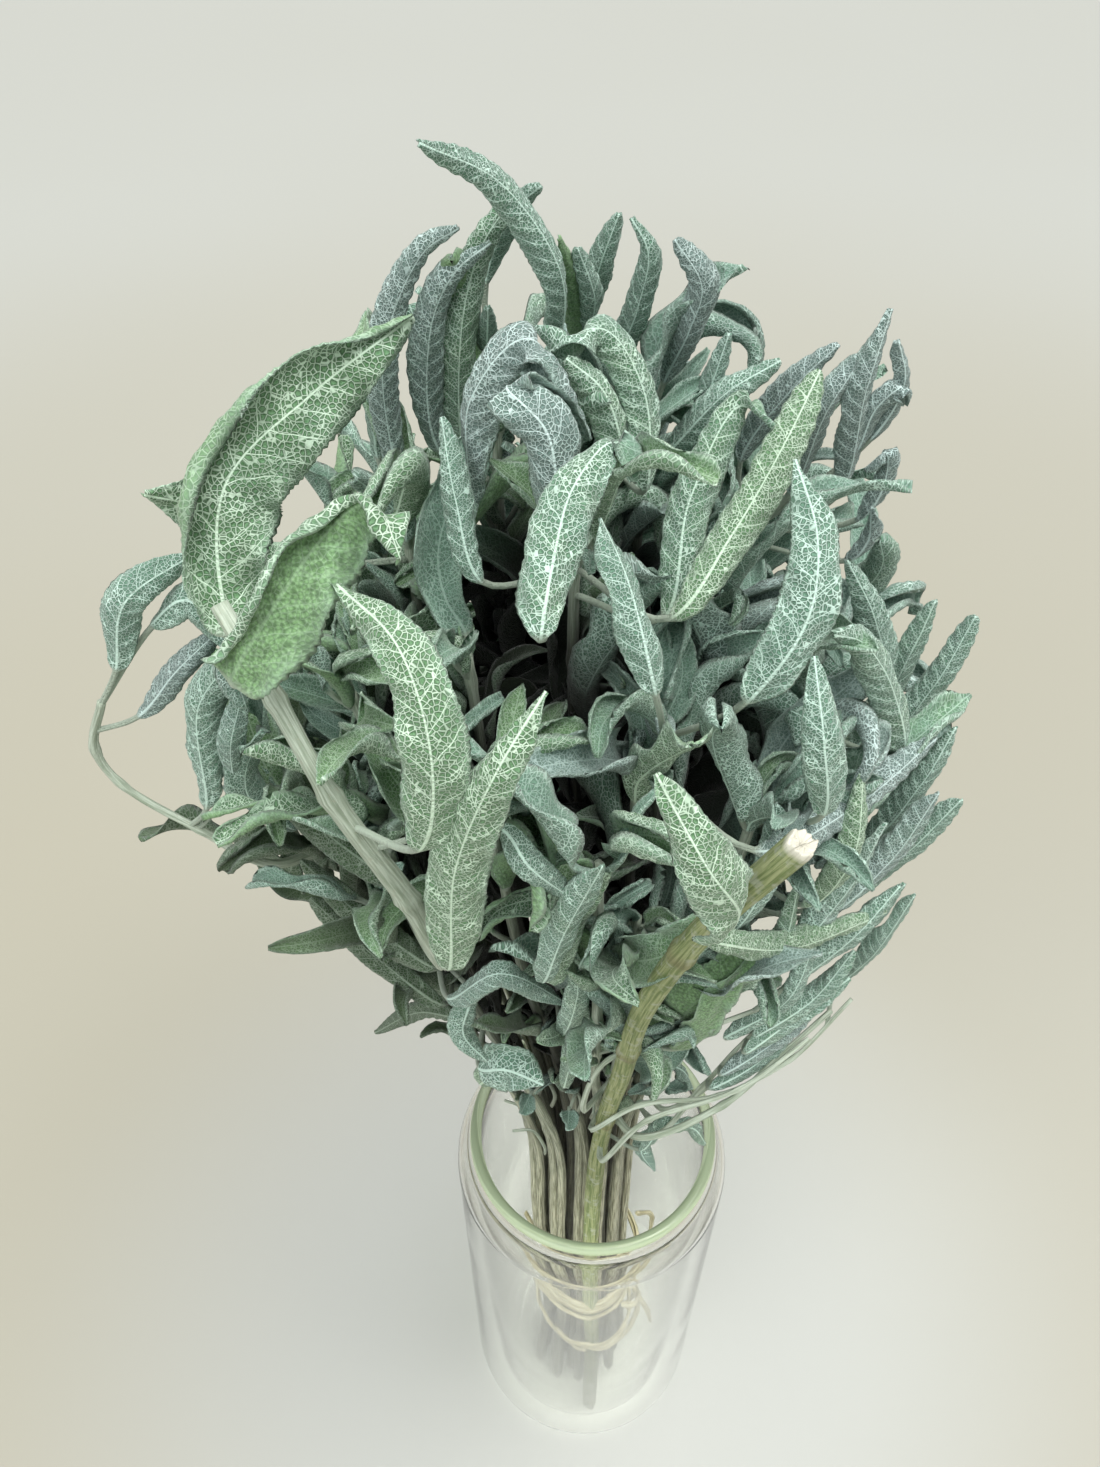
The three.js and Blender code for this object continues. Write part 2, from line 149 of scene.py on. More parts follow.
soft_sun("window_light", direction=(-0.22, 0.15, -1.0), spread=50, power=3.45, colour=(1.0, 0.99, 0.97))
soft_sun("front_fill", direction=(0.55, 0.65, -0.6), spread=45, power=1.05, colour=(0.97, 0.99, 1.0))
sky = bpy.data.worlds.new("studio_air")
sky.use_nodes = True
sky.node_tree.nodes["Background"].inputs["Color"].default_value = (1.0, 0.995, 0.98, 1)
sky.node_tree.nodes["Background"].inputs["Strength"].default_value = 0.36
bpy.context.scene.world = sky
bpy.context.scene.view_settings.view_transform = "Standard"

camera_lens = bpy.data.cameras.new("camera")
camera_lens.lens = LENS
camera_lens.sensor_width = 36
camera_lens.clip_start = 0.01
camera = bpy.data.objects.new("camera", camera_lens)
camera.location = EYE
camera.rotation_euler = (math.radians(90 - LOOKING_DOWN), 0, 0)
bpy.context.scene.collection.objects.link(camera)
bpy.context.scene.camera = camera

# ---------------------------------------------------------------------------------------------
# Glass jar: blown clear soda-lime glass with two walls, an inner cup hung from the fire-polished
# rim, where the glass looks green, and an outer wall with a shoulder and a rounded foot.
# ---------------------------------------------------------------------------------------------
jar_low, jar_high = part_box("glass_jar")
JAR_RADIUS = (jar_high[0] - jar_low[0]) / 2
JAR_HEIGHT = jar_high[2]
MOUTH_RADIUS = 0.036
LIP_RADIUS = 0.0017
GREEN_BAND = 0.0027
SHOULDER_RADIUS = 0.016
SHOULDER_HEIGHT = JAR_HEIGHT - 0.0156
FOOT_RADIUS = 0.027
FOOT_BEND = JAR_RADIUS - FOOT_RADIUS
UNDERSIDE = 0.0003
OUTER_WALL = 0.001
WELL_RADIUS = 0.0235
WELL_HEIGHT = 0.013
WELL_BEND = 0.008
INNER_WALL = 0.0018


def arc(x, z, radius, start, end, steps):
    """Points of a circle about (x, z) from one angle to another, in degrees."""
    angle = np.radians(np.linspace(start, end, steps))
    return np.stack([x + radius * np.cos(angle), z + radius * np.sin(angle)], 1)


def build_mesh(name, points, quads, ends=(), materials=()):
    """A mesh from numpy points and four-sided faces, with many-sided faces closing its ends."""
    mesh = bpy.data.meshes.new(name)
    corners = np.concatenate([np.asarray(quads).ravel(), *ends]).astype(np.int32)
    sizes = np.concatenate([np.full(len(quads), 4), [len(end) for end in ends]]).astype(np.int32)
    starts = np.concatenate([[0], np.cumsum(sizes)[:-1]]).astype(np.int32)
    mesh.vertices.add(len(points))
    mesh.vertices.foreach_set("co", np.asarray(points, np.float32).ravel())
    mesh.loops.add(len(corners))
    mesh.loops.foreach_set("vertex_index", corners)
    mesh.polygons.add(len(sizes))
    mesh.polygons.foreach_set("loop_start", starts)
    mesh.polygons.foreach_set("use_smooth", np.ones(len(sizes), bool))
    for material in materials:
        mesh.materials.append(material)
    mesh.update(calc_edges=True)
    mesh.validate()
    return mesh


def add_piece(name, mesh, slot, *nodes):
    """Puts a mesh in the scene as a piece of the one still body, in place of its CAD nodes."""
    piece = bpy.data.objects.new(name, mesh)
    bpy.context.scene.collection.objects.link(piece)
    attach(piece, "root")
    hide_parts(*nodes)
    return piece


def lathe(profile, around, loop=False):
    """A profile of (radius, height) points turned about Z; it is a loop, or caps close its two ends."""
    angle = np.linspace(0, 2 * np.pi, around, endpoint=False)
    ring = np.stack([np.cos(angle), np.sin(angle)], 1)
    points = np.concatenate([profile[:, None, :1] * ring[None], np.broadcast_to(
        profile[:, None, 1:], (len(profile), around, 1))], 2).reshape(-1, 3)
    row = np.arange(len(profile) - (0 if loop else 1))[:, None]
    here = np.arange(around)[None]
    low, high, after = row * around, (row + 1) % len(profile) * around, (here + 1) % around
    quads = np.stack([low + here, low + after, high + after, high + here], -1).reshape(-1, 4)
    last = (len(profile) - 1) * around
    return points, quads, [] if loop else [np.arange(around)[::-1], last + np.arange(around)]


def jar_profile():
    """From the underside's middle out round the foot, up the side, over the lip and down the inner cup."""
    return np.concatenate([
        [[0.0005, UNDERSIDE], [0.015, UNDERSIDE]],
        arc(FOOT_RADIUS, FOOT_BEND + UNDERSIDE, FOOT_BEND, -90, 0, 18),
        arc(JAR_RADIUS - SHOULDER_RADIUS, SHOULDER_HEIGHT, SHOULDER_RADIUS, 0, 38, 10),
        arc(MOUTH_RADIUS - LIP_RADIUS, JAR_HEIGHT - LIP_RADIUS, LIP_RADIUS, 0, 180, 14),
        [[0.0328, 0.164], [0.034, 0.158], [0.0346, 0.14], [0.0345, 0.1], [0.0335, 0.055]],
        arc(WELL_RADIUS, WELL_HEIGHT, WELL_BEND, 0, -90, 14),
        [[0.012, 0.0056], [0.0005, 0.0062]],
    ])


def jar_gap():
    """The air between the two walls: up the inner cup's outside, then down the outer wall's inside."""
    return np.concatenate([
        [[0.006, 0.0034]],
        arc(WELL_RADIUS, WELL_HEIGHT, WELL_BEND + INNER_WALL, -90, 0, 14),
        [[0.0351, 0.055], [0.0361, 0.1], [0.0362, 0.14], [0.0356, 0.157], [0.0351, 0.1622], [0.0357, 0.163]],
        arc(JAR_RADIUS - SHOULDER_RADIUS, SHOULDER_HEIGHT, SHOULDER_RADIUS - OUTER_WALL, 34, 0, 10),
        arc(FOOT_RADIUS, FOOT_BEND, FOOT_BEND - OUTER_WALL, 0, -90, 18),
        [[0.006, 0.0016]],
    ])


def jar_finish(name, tint, clear):
    """Blown glass, faintly wavy, that lets its light through to what stands inside and behind it."""
    material, tree = new_material(name)
    place = add_node(tree, "ShaderNodeTexCoord").outputs["Object"]
    waves = add_node(tree, "ShaderNodeTexNoise", Vector=place, Scale=18.0, Detail=1.0).outputs[0]
    streaks = add_node(tree, "ShaderNodeTexNoise", Vector=place, Scale=60.0, Detail=2.0).outputs[0]
    colour = blend(tree, streaks, tint, tuple(0.98 * part for part in tint))
    bump = add_node(tree, "ShaderNodeBump", Height=waves, Strength=0.12, Distance=0.0006)
    surface = add_node(
        tree, "ShaderNodeBsdfPrincipled", Base_Color=colour, Roughness=0.02, IOR=1.4,
        Normal=bump.outputs[0], Transmission_Weight=clear)
    shadow = add_node(tree, "ShaderNodeLightPath").outputs["Is Shadow Ray"]
    passing = add_node(tree, "ShaderNodeBsdfTransparent", Color=(0.995, 1.0, 0.99, 1))
    mixed = tree.nodes.new("ShaderNodeMixShader")
    for socket, source in zip(mixed.inputs, (shadow, surface.outputs[0], passing.outputs[0])):
        tree.links.new(source, socket)
    add_node(tree, "ShaderNodeOutputMaterial", Surface=mixed.outputs[0])
    return material


jar_glass = [
    jar_finish("clear_glass", (1.0, 1.0, 0.99), 1.0),
    jar_finish("green_rim_glass", (0.62, 0.77, 0.50), 0.5),
]
points, quads, caps = lathe(jar_profile(), 128)
gap_points, gap_quads, _ = lathe(jar_gap(), 128, loop=True)
quads = np.concatenate([quads, gap_quads + len(points)])
points = np.concatenate([points, gap_points])
jar_mesh = build_mesh("jar_glass", points, quads, caps, jar_glass)
heights = np.concatenate([points[quads, 2].mean(1), [0, 0]])
jar_mesh.polygons.foreach_set("material_index", (heights > JAR_HEIGHT - GREEN_BAND).astype(np.int32))
add_piece("jar_glass", jar_mesh, "glass", "glass_jar")

# ---------------------------------------------------------------------------------------------
# Sprigs: each is one stem that grew with its leaves. The squarish stems stand on the jar's floor,
# are drawn together at the tie and fan out above the rim, like a sheaf.
# ---------------------------------------------------------------------------------------------
MM = 0.001
STEM_COUNT = 26
STEM_RADIUS = 1.65
BRANCH_RADIUS = 1.35
SCRAP_RADIUS = 0.55
SCRAP_COUNT = 22
GOLDEN_ANGLE = 2.39996
LOWEST_LEAF = 190
TALLEST_STEM = 384
EDGE_DROP = 84
UNEVEN_TIPS = 14
UNEVEN_FEET = 5
NODE_SPACING = 20
TOP_NODE = 5

# Height, then the bundle's centre in x and y and its half-width in x and y, all in millimetres
BUNDLE = np.array([
    [6, 0, -7, 17, 15],
    [40, 0, -7, 15, 14],
    [62, 0, -6, 14, 13.5],
    [115, -2, 1, 15.5, 14.5],
    [165, -2, 9, 18, 16],
    [200, -3, 15, 29, 25],
    [240, -5, 20, 44, 37],
    [290, -8, 24, 60, 49],
    [340, -10, 27, 70, 56],
    [400, -10, 31, 74, 58],
])


def vary(n):
    """A number from 0 to 1 that varies evenly as n goes up by one."""
    return (n * 0.618034) % 1


def bundle_at(height):
    """The bundle's centre in x and y and its half-width in x and y, at a height."""
    return [np.interp(height, BUNDLE[:, 0], BUNDLE[:, k]) for k in range(1, 5)]


def stem_place(slot, height):
    """Where a stem with a slot in the bundle, as shares of the half-widths, stands at a height."""
    x, y, half_x, half_y = bundle_at(height)
    return [x + slot[0] * half_x, y + slot[1] * half_y, height]


def slot_of(out, angle):
    """The slot at a share of the way out from the bundle's middle, in a direction in radians."""
    return out * math.cos(angle), out * math.sin(angle)


def way_out(i):
    """How far out a stem stands; the root spreads the stems evenly over the bundle."""
    return math.sqrt((i + 0.5) / STEM_COUNT)


def stem_route(i):
    """The places one stem runs through, from its cut end to its tip, which is lower at the outside."""
    slot = slot_of(way_out(i), i * GOLDEN_ANGLE)
    tip = TALLEST_STEM - EDGE_DROP * way_out(i) ** 1.5 + UNEVEN_TIPS * (vary(i) - 0.5)
    foot = BUNDLE[0, 0] + UNEVEN_FEET * vary(i + 3)
    between = [z for z in BUNDLE[:, 0] if foot + 10 < z < tip - 20]
    return [stem_place(slot, height) for height in [foot, *between, tip]]


def smooth_curve(places, steps=24):
    """
    A curve through the places made of cubic pieces whose slopes follow the neighbouring places.
    Gives fine points along it, their distance from the start and the distance of each place.
    """
    places = np.asarray(places, float)
    gaps = np.sqrt(np.linalg.norm(np.diff(places, axis=0), axis=1))
    knots = np.concatenate([[0], np.cumsum(gaps)])
    slopes = np.gradient(places, knots, axis=0)
    fine = np.linspace(0, knots[-1], steps * len(places))
    i = np.clip(np.searchsorted(knots, fine, side="right") - 1, 0, len(knots) - 2)
    span = (knots[i + 1] - knots[i])[:, None]
    t = (fine - knots[i])[:, None] / span
    points = ((2 * t ** 3 - 3 * t ** 2 + 1) * places[i] + (t ** 3 - 2 * t ** 2 + t) * span * slopes[i]
              + (3 * t ** 2 - 2 * t ** 3) * places[i + 1] + (t ** 3 - t ** 2) * span * slopes[i + 1])
    reach = np.concatenate([[0], np.cumsum(np.linalg.norm(np.diff(points, axis=0), axis=1))])
    return points, reach, np.interp(knots, fine, reach)


def read_curve(points, reach, distances):
    """The places and directions of a curve at given distances along it."""
    place = np.stack([np.interp(distances, reach, points[:, k]) for k in range(3)], 1)
    along = np.gradient(place, axis=0)
    return place, along / np.linalg.norm(along, axis=1, keepdims=True)


def across_frame(along, side):
    """A side and an upward direction square to a curve: the wanted side less its share along the curve."""
    side = side - np.sum(side * along, axis=1, keepdims=True) * along
    side = side / np.linalg.norm(side, axis=1, keepdims=True)
    return side, np.cross(side, along)


def ring_quads(rows, ring):
    """Four-sided faces between neighbouring rings of a closed tube, and a face closing each end."""
    row = np.arange(rows - 1)[:, None] * ring
    here = np.arange(ring)[None]
    after = (here + 1) % ring
    quads = np.stack([row + here, row + after, row + ring + after, row + ring + here], -1).reshape(-1, 4)
    return quads, [np.arange(ring)[::-1], (rows - 1) * ring + np.arange(ring)]


def new_part(shell, blade, finish=(0, 0, 0), edge=0, shade_share=0, slot=0, flipped=False):
    """
    A closed tube of rings, with what its material reads at each point: the way along and across it and its
    seed, three measures of its finish, its nearness to an edge for a painted highlight and its share of
    painted shade.
    """
    rows, ring = shell.shape[:2]
    quads, ends = ring_quads(rows, ring)
    if flipped:
        quads, ends = quads[:, ::-1], [end[::-1] for end in ends]

    def spread(*values):
        """A column for each value, which is a number or an array over the tube."""
        return np.stack([np.broadcast_to(value, (rows, ring)).ravel() for value in values], -1)

    return {
        "points": shell.reshape(-1, 3), "quads": quads, "ends": ends, "slot": slot,
        "blade": spread(*blade), "finish": spread(*finish),
        "edge": spread(edge)[:, 0], "shade_share": spread(shade_share)[:, 0],
    }


def stem_part(places, radius, taper, nodes, rows, seed, woody=1.0):
    """
    A stem: a rounded square section, grooved along its four faces, carried along the curve.
    It thins to the tip and swells where each pair of leaves springs.
    """
    points, reach, _ = smooth_curve(places)
    distance = np.linspace(0, reach[-1], rows)
    place, along = read_curve(points, reach, distance)
    side, up = across_frame(along, np.array([0.0, 1.0, 0.0]))
    angle = np.linspace(0, 2 * np.pi, 20, endpoint=False)[None]
    distance = distance[:, None]
    share = distance / reach[-1]
    swell = np.exp(-((distance - np.asarray(nodes)[None]) / 1.6) ** 2).sum(1, keepdims=True)
    size = radius * (1 - taper * share) * (1 + 0.28 * swell)
    size = size * (1 + 0.05 * np.sin(distance / 9 + seed) + 0.03 * np.sin(distance / 3.1 + 2 * seed))
    size = size * (1 + 0.11 * np.cos(4 * angle + 0.2 * np.sin(distance / 40 + seed)))
    shell = place[:, None] + size[..., None] * (
        np.cos(angle)[..., None] * side[:, None] + np.sin(angle)[..., None] * up[:, None])
    downy = 1 - woody * (1 - share)
    return new_part(shell, (distance, angle * radius, seed), finish=(downy, 0, 0), shade_share=1, slot=1)


# How finely a leaf is made: millimetres a row, most rows, half the ring's points, rows in the stalk
GRADES = {"shown": (0.6, 90, 20, 9), "common": (1.1, 38, 10, 4), "small": (1.0, 20, 8, 3)}
TONES = {"green": 0.0, "grey": 0.4, "mauve": 1.0, "felt": 0.05, "slate": 0.6, "dark": -0.6}
# The side veins: millimetres from one to the next, how far they lean forward and how fast they bend
VEIN_SPACING = 4.6
VEIN_LEAN = 0.75
VEIN_BEND = 0.035


def leaf_part(root, places, kind, width, roll, twist, face, seed, grade):
    """
    A leaf: a flat ring carried along the curve, round and thin in the stalk and wide in the blade.
    Half-width: a root of the share from the base times a power of the share left to the tip.
    Across, the blade's slope grows with a power of the distance from the rib, which rolls its margins.
    It puckers between side veins, wrinkles in slow waves and has a knobbly edge.
    """
    route = [root, *places]
    points, reach, stops = smooth_curve(route)
    base, length = stops[1], reach[-1]
    blade_length = length - base
    pitch, most, half_ring, stalk_rows = GRADES[grade]
    rows = int(np.clip(blade_length / pitch, 16, most))
    distance = np.concatenate([
        np.linspace(0, base, stalk_rows, endpoint=False), np.linspace(base, length, rows)])
    place, along = read_curve(points, reach, distance)
    middle = along[stalk_rows + rows // 4: stalk_rows + 3 * rows // 4].mean(0)
    side, up = across_frame(along, np.cross(middle, face))
    distance = distance[:, None]
    share = np.clip((distance - base) / blade_length, 0, 1)
    turn = np.radians(twist) * (share - 0.35) + 0.25 * np.sin(7 * seed)
    side, up = np.cos(turn) * side + np.sin(turn) * up, np.cos(turn) * up - np.sin(turn) * side

    k = np.linspace(-1, 1, half_ring + 1)
    v = (np.sign(k) * np.abs(k) ** 1.15)[None]
    blunt = 0.72 if width > 9.5 and kind != "felt" else 0.4 + 0.3 * vary(7 * seed)
    outline = share ** (0.25 if kind == "felt" else 0.45) * (1 - share) ** blunt
    outline = outline / outline.max()
    left_roll, right_roll = roll if isinstance(roll, tuple) else (
        roll * (1.12 - 0.3 * vary(seed)), roll * (0.82 + 0.3 * vary(seed + 1)))
    uneven = 1 + 0.3 * np.sin(2 * np.pi * share * (1.3 + vary(seed)) + seed)
    bend = np.radians(10 + np.where(v < 0, left_roll, right_roll) * np.abs(v) ** 1.6 * uneven)
    bend = bend + np.radians(30) * np.sin(8 * v + 7 * share + seed) * np.abs(v)
    bend = bend * np.clip(share / 0.1, 0, 1)
    step = np.diff(v, axis=1)

    def summed(value):
        """Adds a slope up across the blade, so that it is nothing at the rib."""
        total = np.cumsum((value[:, 1:] + value[:, :-1]) / 2 * step, axis=1)
        total = np.concatenate([np.zeros((len(value), 1)), total], axis=1)
        return total - total[:, half_ring // 2][:, None]

    wide, deep = summed(np.cos(bend)), summed(-np.sign(v) * np.sin(bend))
    shown = np.maximum(np.abs(wide).max(1, keepdims=True), 0.35)
    knob_size, wave_size = (0.03, 0.1) if grade == "shown" else (0, 0.16)
    knobs = 1 + knob_size * np.sin(2 * np.pi * distance / 1.6 + seed) * np.abs(v) ** 3
    stalk_radius = 0.5 + 0.014 * width
    half = np.maximum(np.where(share > 0, outline * width / 2 / shown, 0), stalk_radius) * knobs
    blended = np.clip(share * 14, 0, 1)
    from_rib = np.abs(v) * half
    scale = float(np.clip((10 / width) ** 0.6, 0.85, 1.6))
    vein = (distance - base - VEIN_LEAN * from_rib) * scale - VEIN_BEND * (from_rib * scale) ** 2
    vein = vein / VEIN_SPACING + 0.5 * (v > 0) + seed
    pucker = 0.2 * np.cos(2 * np.pi * vein) * np.clip(from_rib / 2, 0, 1) * (1 - np.abs(v) ** 4)
    wave = wave_size * width * np.sin(2 * np.pi * (distance / 14 + vary(seed)) + 2.1 * v) * np.abs(v) ** 1.5
    wave = wave + 0.035 * width * np.sin(distance / 2.3 + 4 * v + seed) * np.abs(v) ** 2
    veined = 0.0 if kind == "felt" else 1.0
    rib = 0.34 * (1 - 0.8 * share) * np.exp(-(from_rib / 0.5) ** 2)
    thick = (1 - blended) * stalk_radius * np.sqrt(1 - v ** 2) + blended * 0.22 * (1 - v ** 6)

    def surface(height):
        """The blade's mid-surface moved along its own normal by a height."""
        x = half * (wide * blended + v * (1 - blended)) + height * np.sign(v) * np.sin(bend) * blended
        z = half * deep * blended + height * (np.cos(bend) * blended + 1 - blended) + wave * blended
        return place[:, None] + x[..., None] * side[:, None] + z[..., None] * up[:, None]

    top = surface(thick + pucker * blended + veined * rib * blended)
    back = slice(half_ring - 1, 0, -1)
    under = surface(-thick + pucker * blended - (1 - veined) * rib * blended)[:, back]
    shell = np.concatenate([top, under], 1)
    signed = np.sign(v) * from_rib
    across = np.concatenate([signed, signed[:, back]], 1)
    faced = np.where(np.arange(shell.shape[1]) <= half_ring, veined, max(0.35, 1 - veined))
    tone = TONES[kind] + 0.3 * (vary(seed * 3) - 0.5)
    stalk = 1 - np.clip(share * 30, 0, 1)
    # Nearness to the margin, which the leaf material lights with a painted highlight.
    edge = np.abs(np.concatenate([v, v[:, back]], 1)) ** 5 * blended * np.clip(width / 6, 0.4, 1)
    # Shown leaves take less painted shade than the rest.
    return new_part(
        shell, ((distance - base) * scale, across * scale, seed % 97), finish=(faced, tone, stalk),
        edge=edge, shade_share=0.3 if grade == "shown" else 1, flipped=True)


def nearest_root(points, place):
    """The point of a curve that lies nearest to and below a place, for a leaf stalk to spring from."""
    place = np.asarray(place, float)
    some = points[len(points) // 5: -2]
    distance = np.linalg.norm(some - place, axis=1) + 2 * np.maximum(0, some[:, 2] - place[2] + 4)
    return distance.min(), some[distance.argmin()]


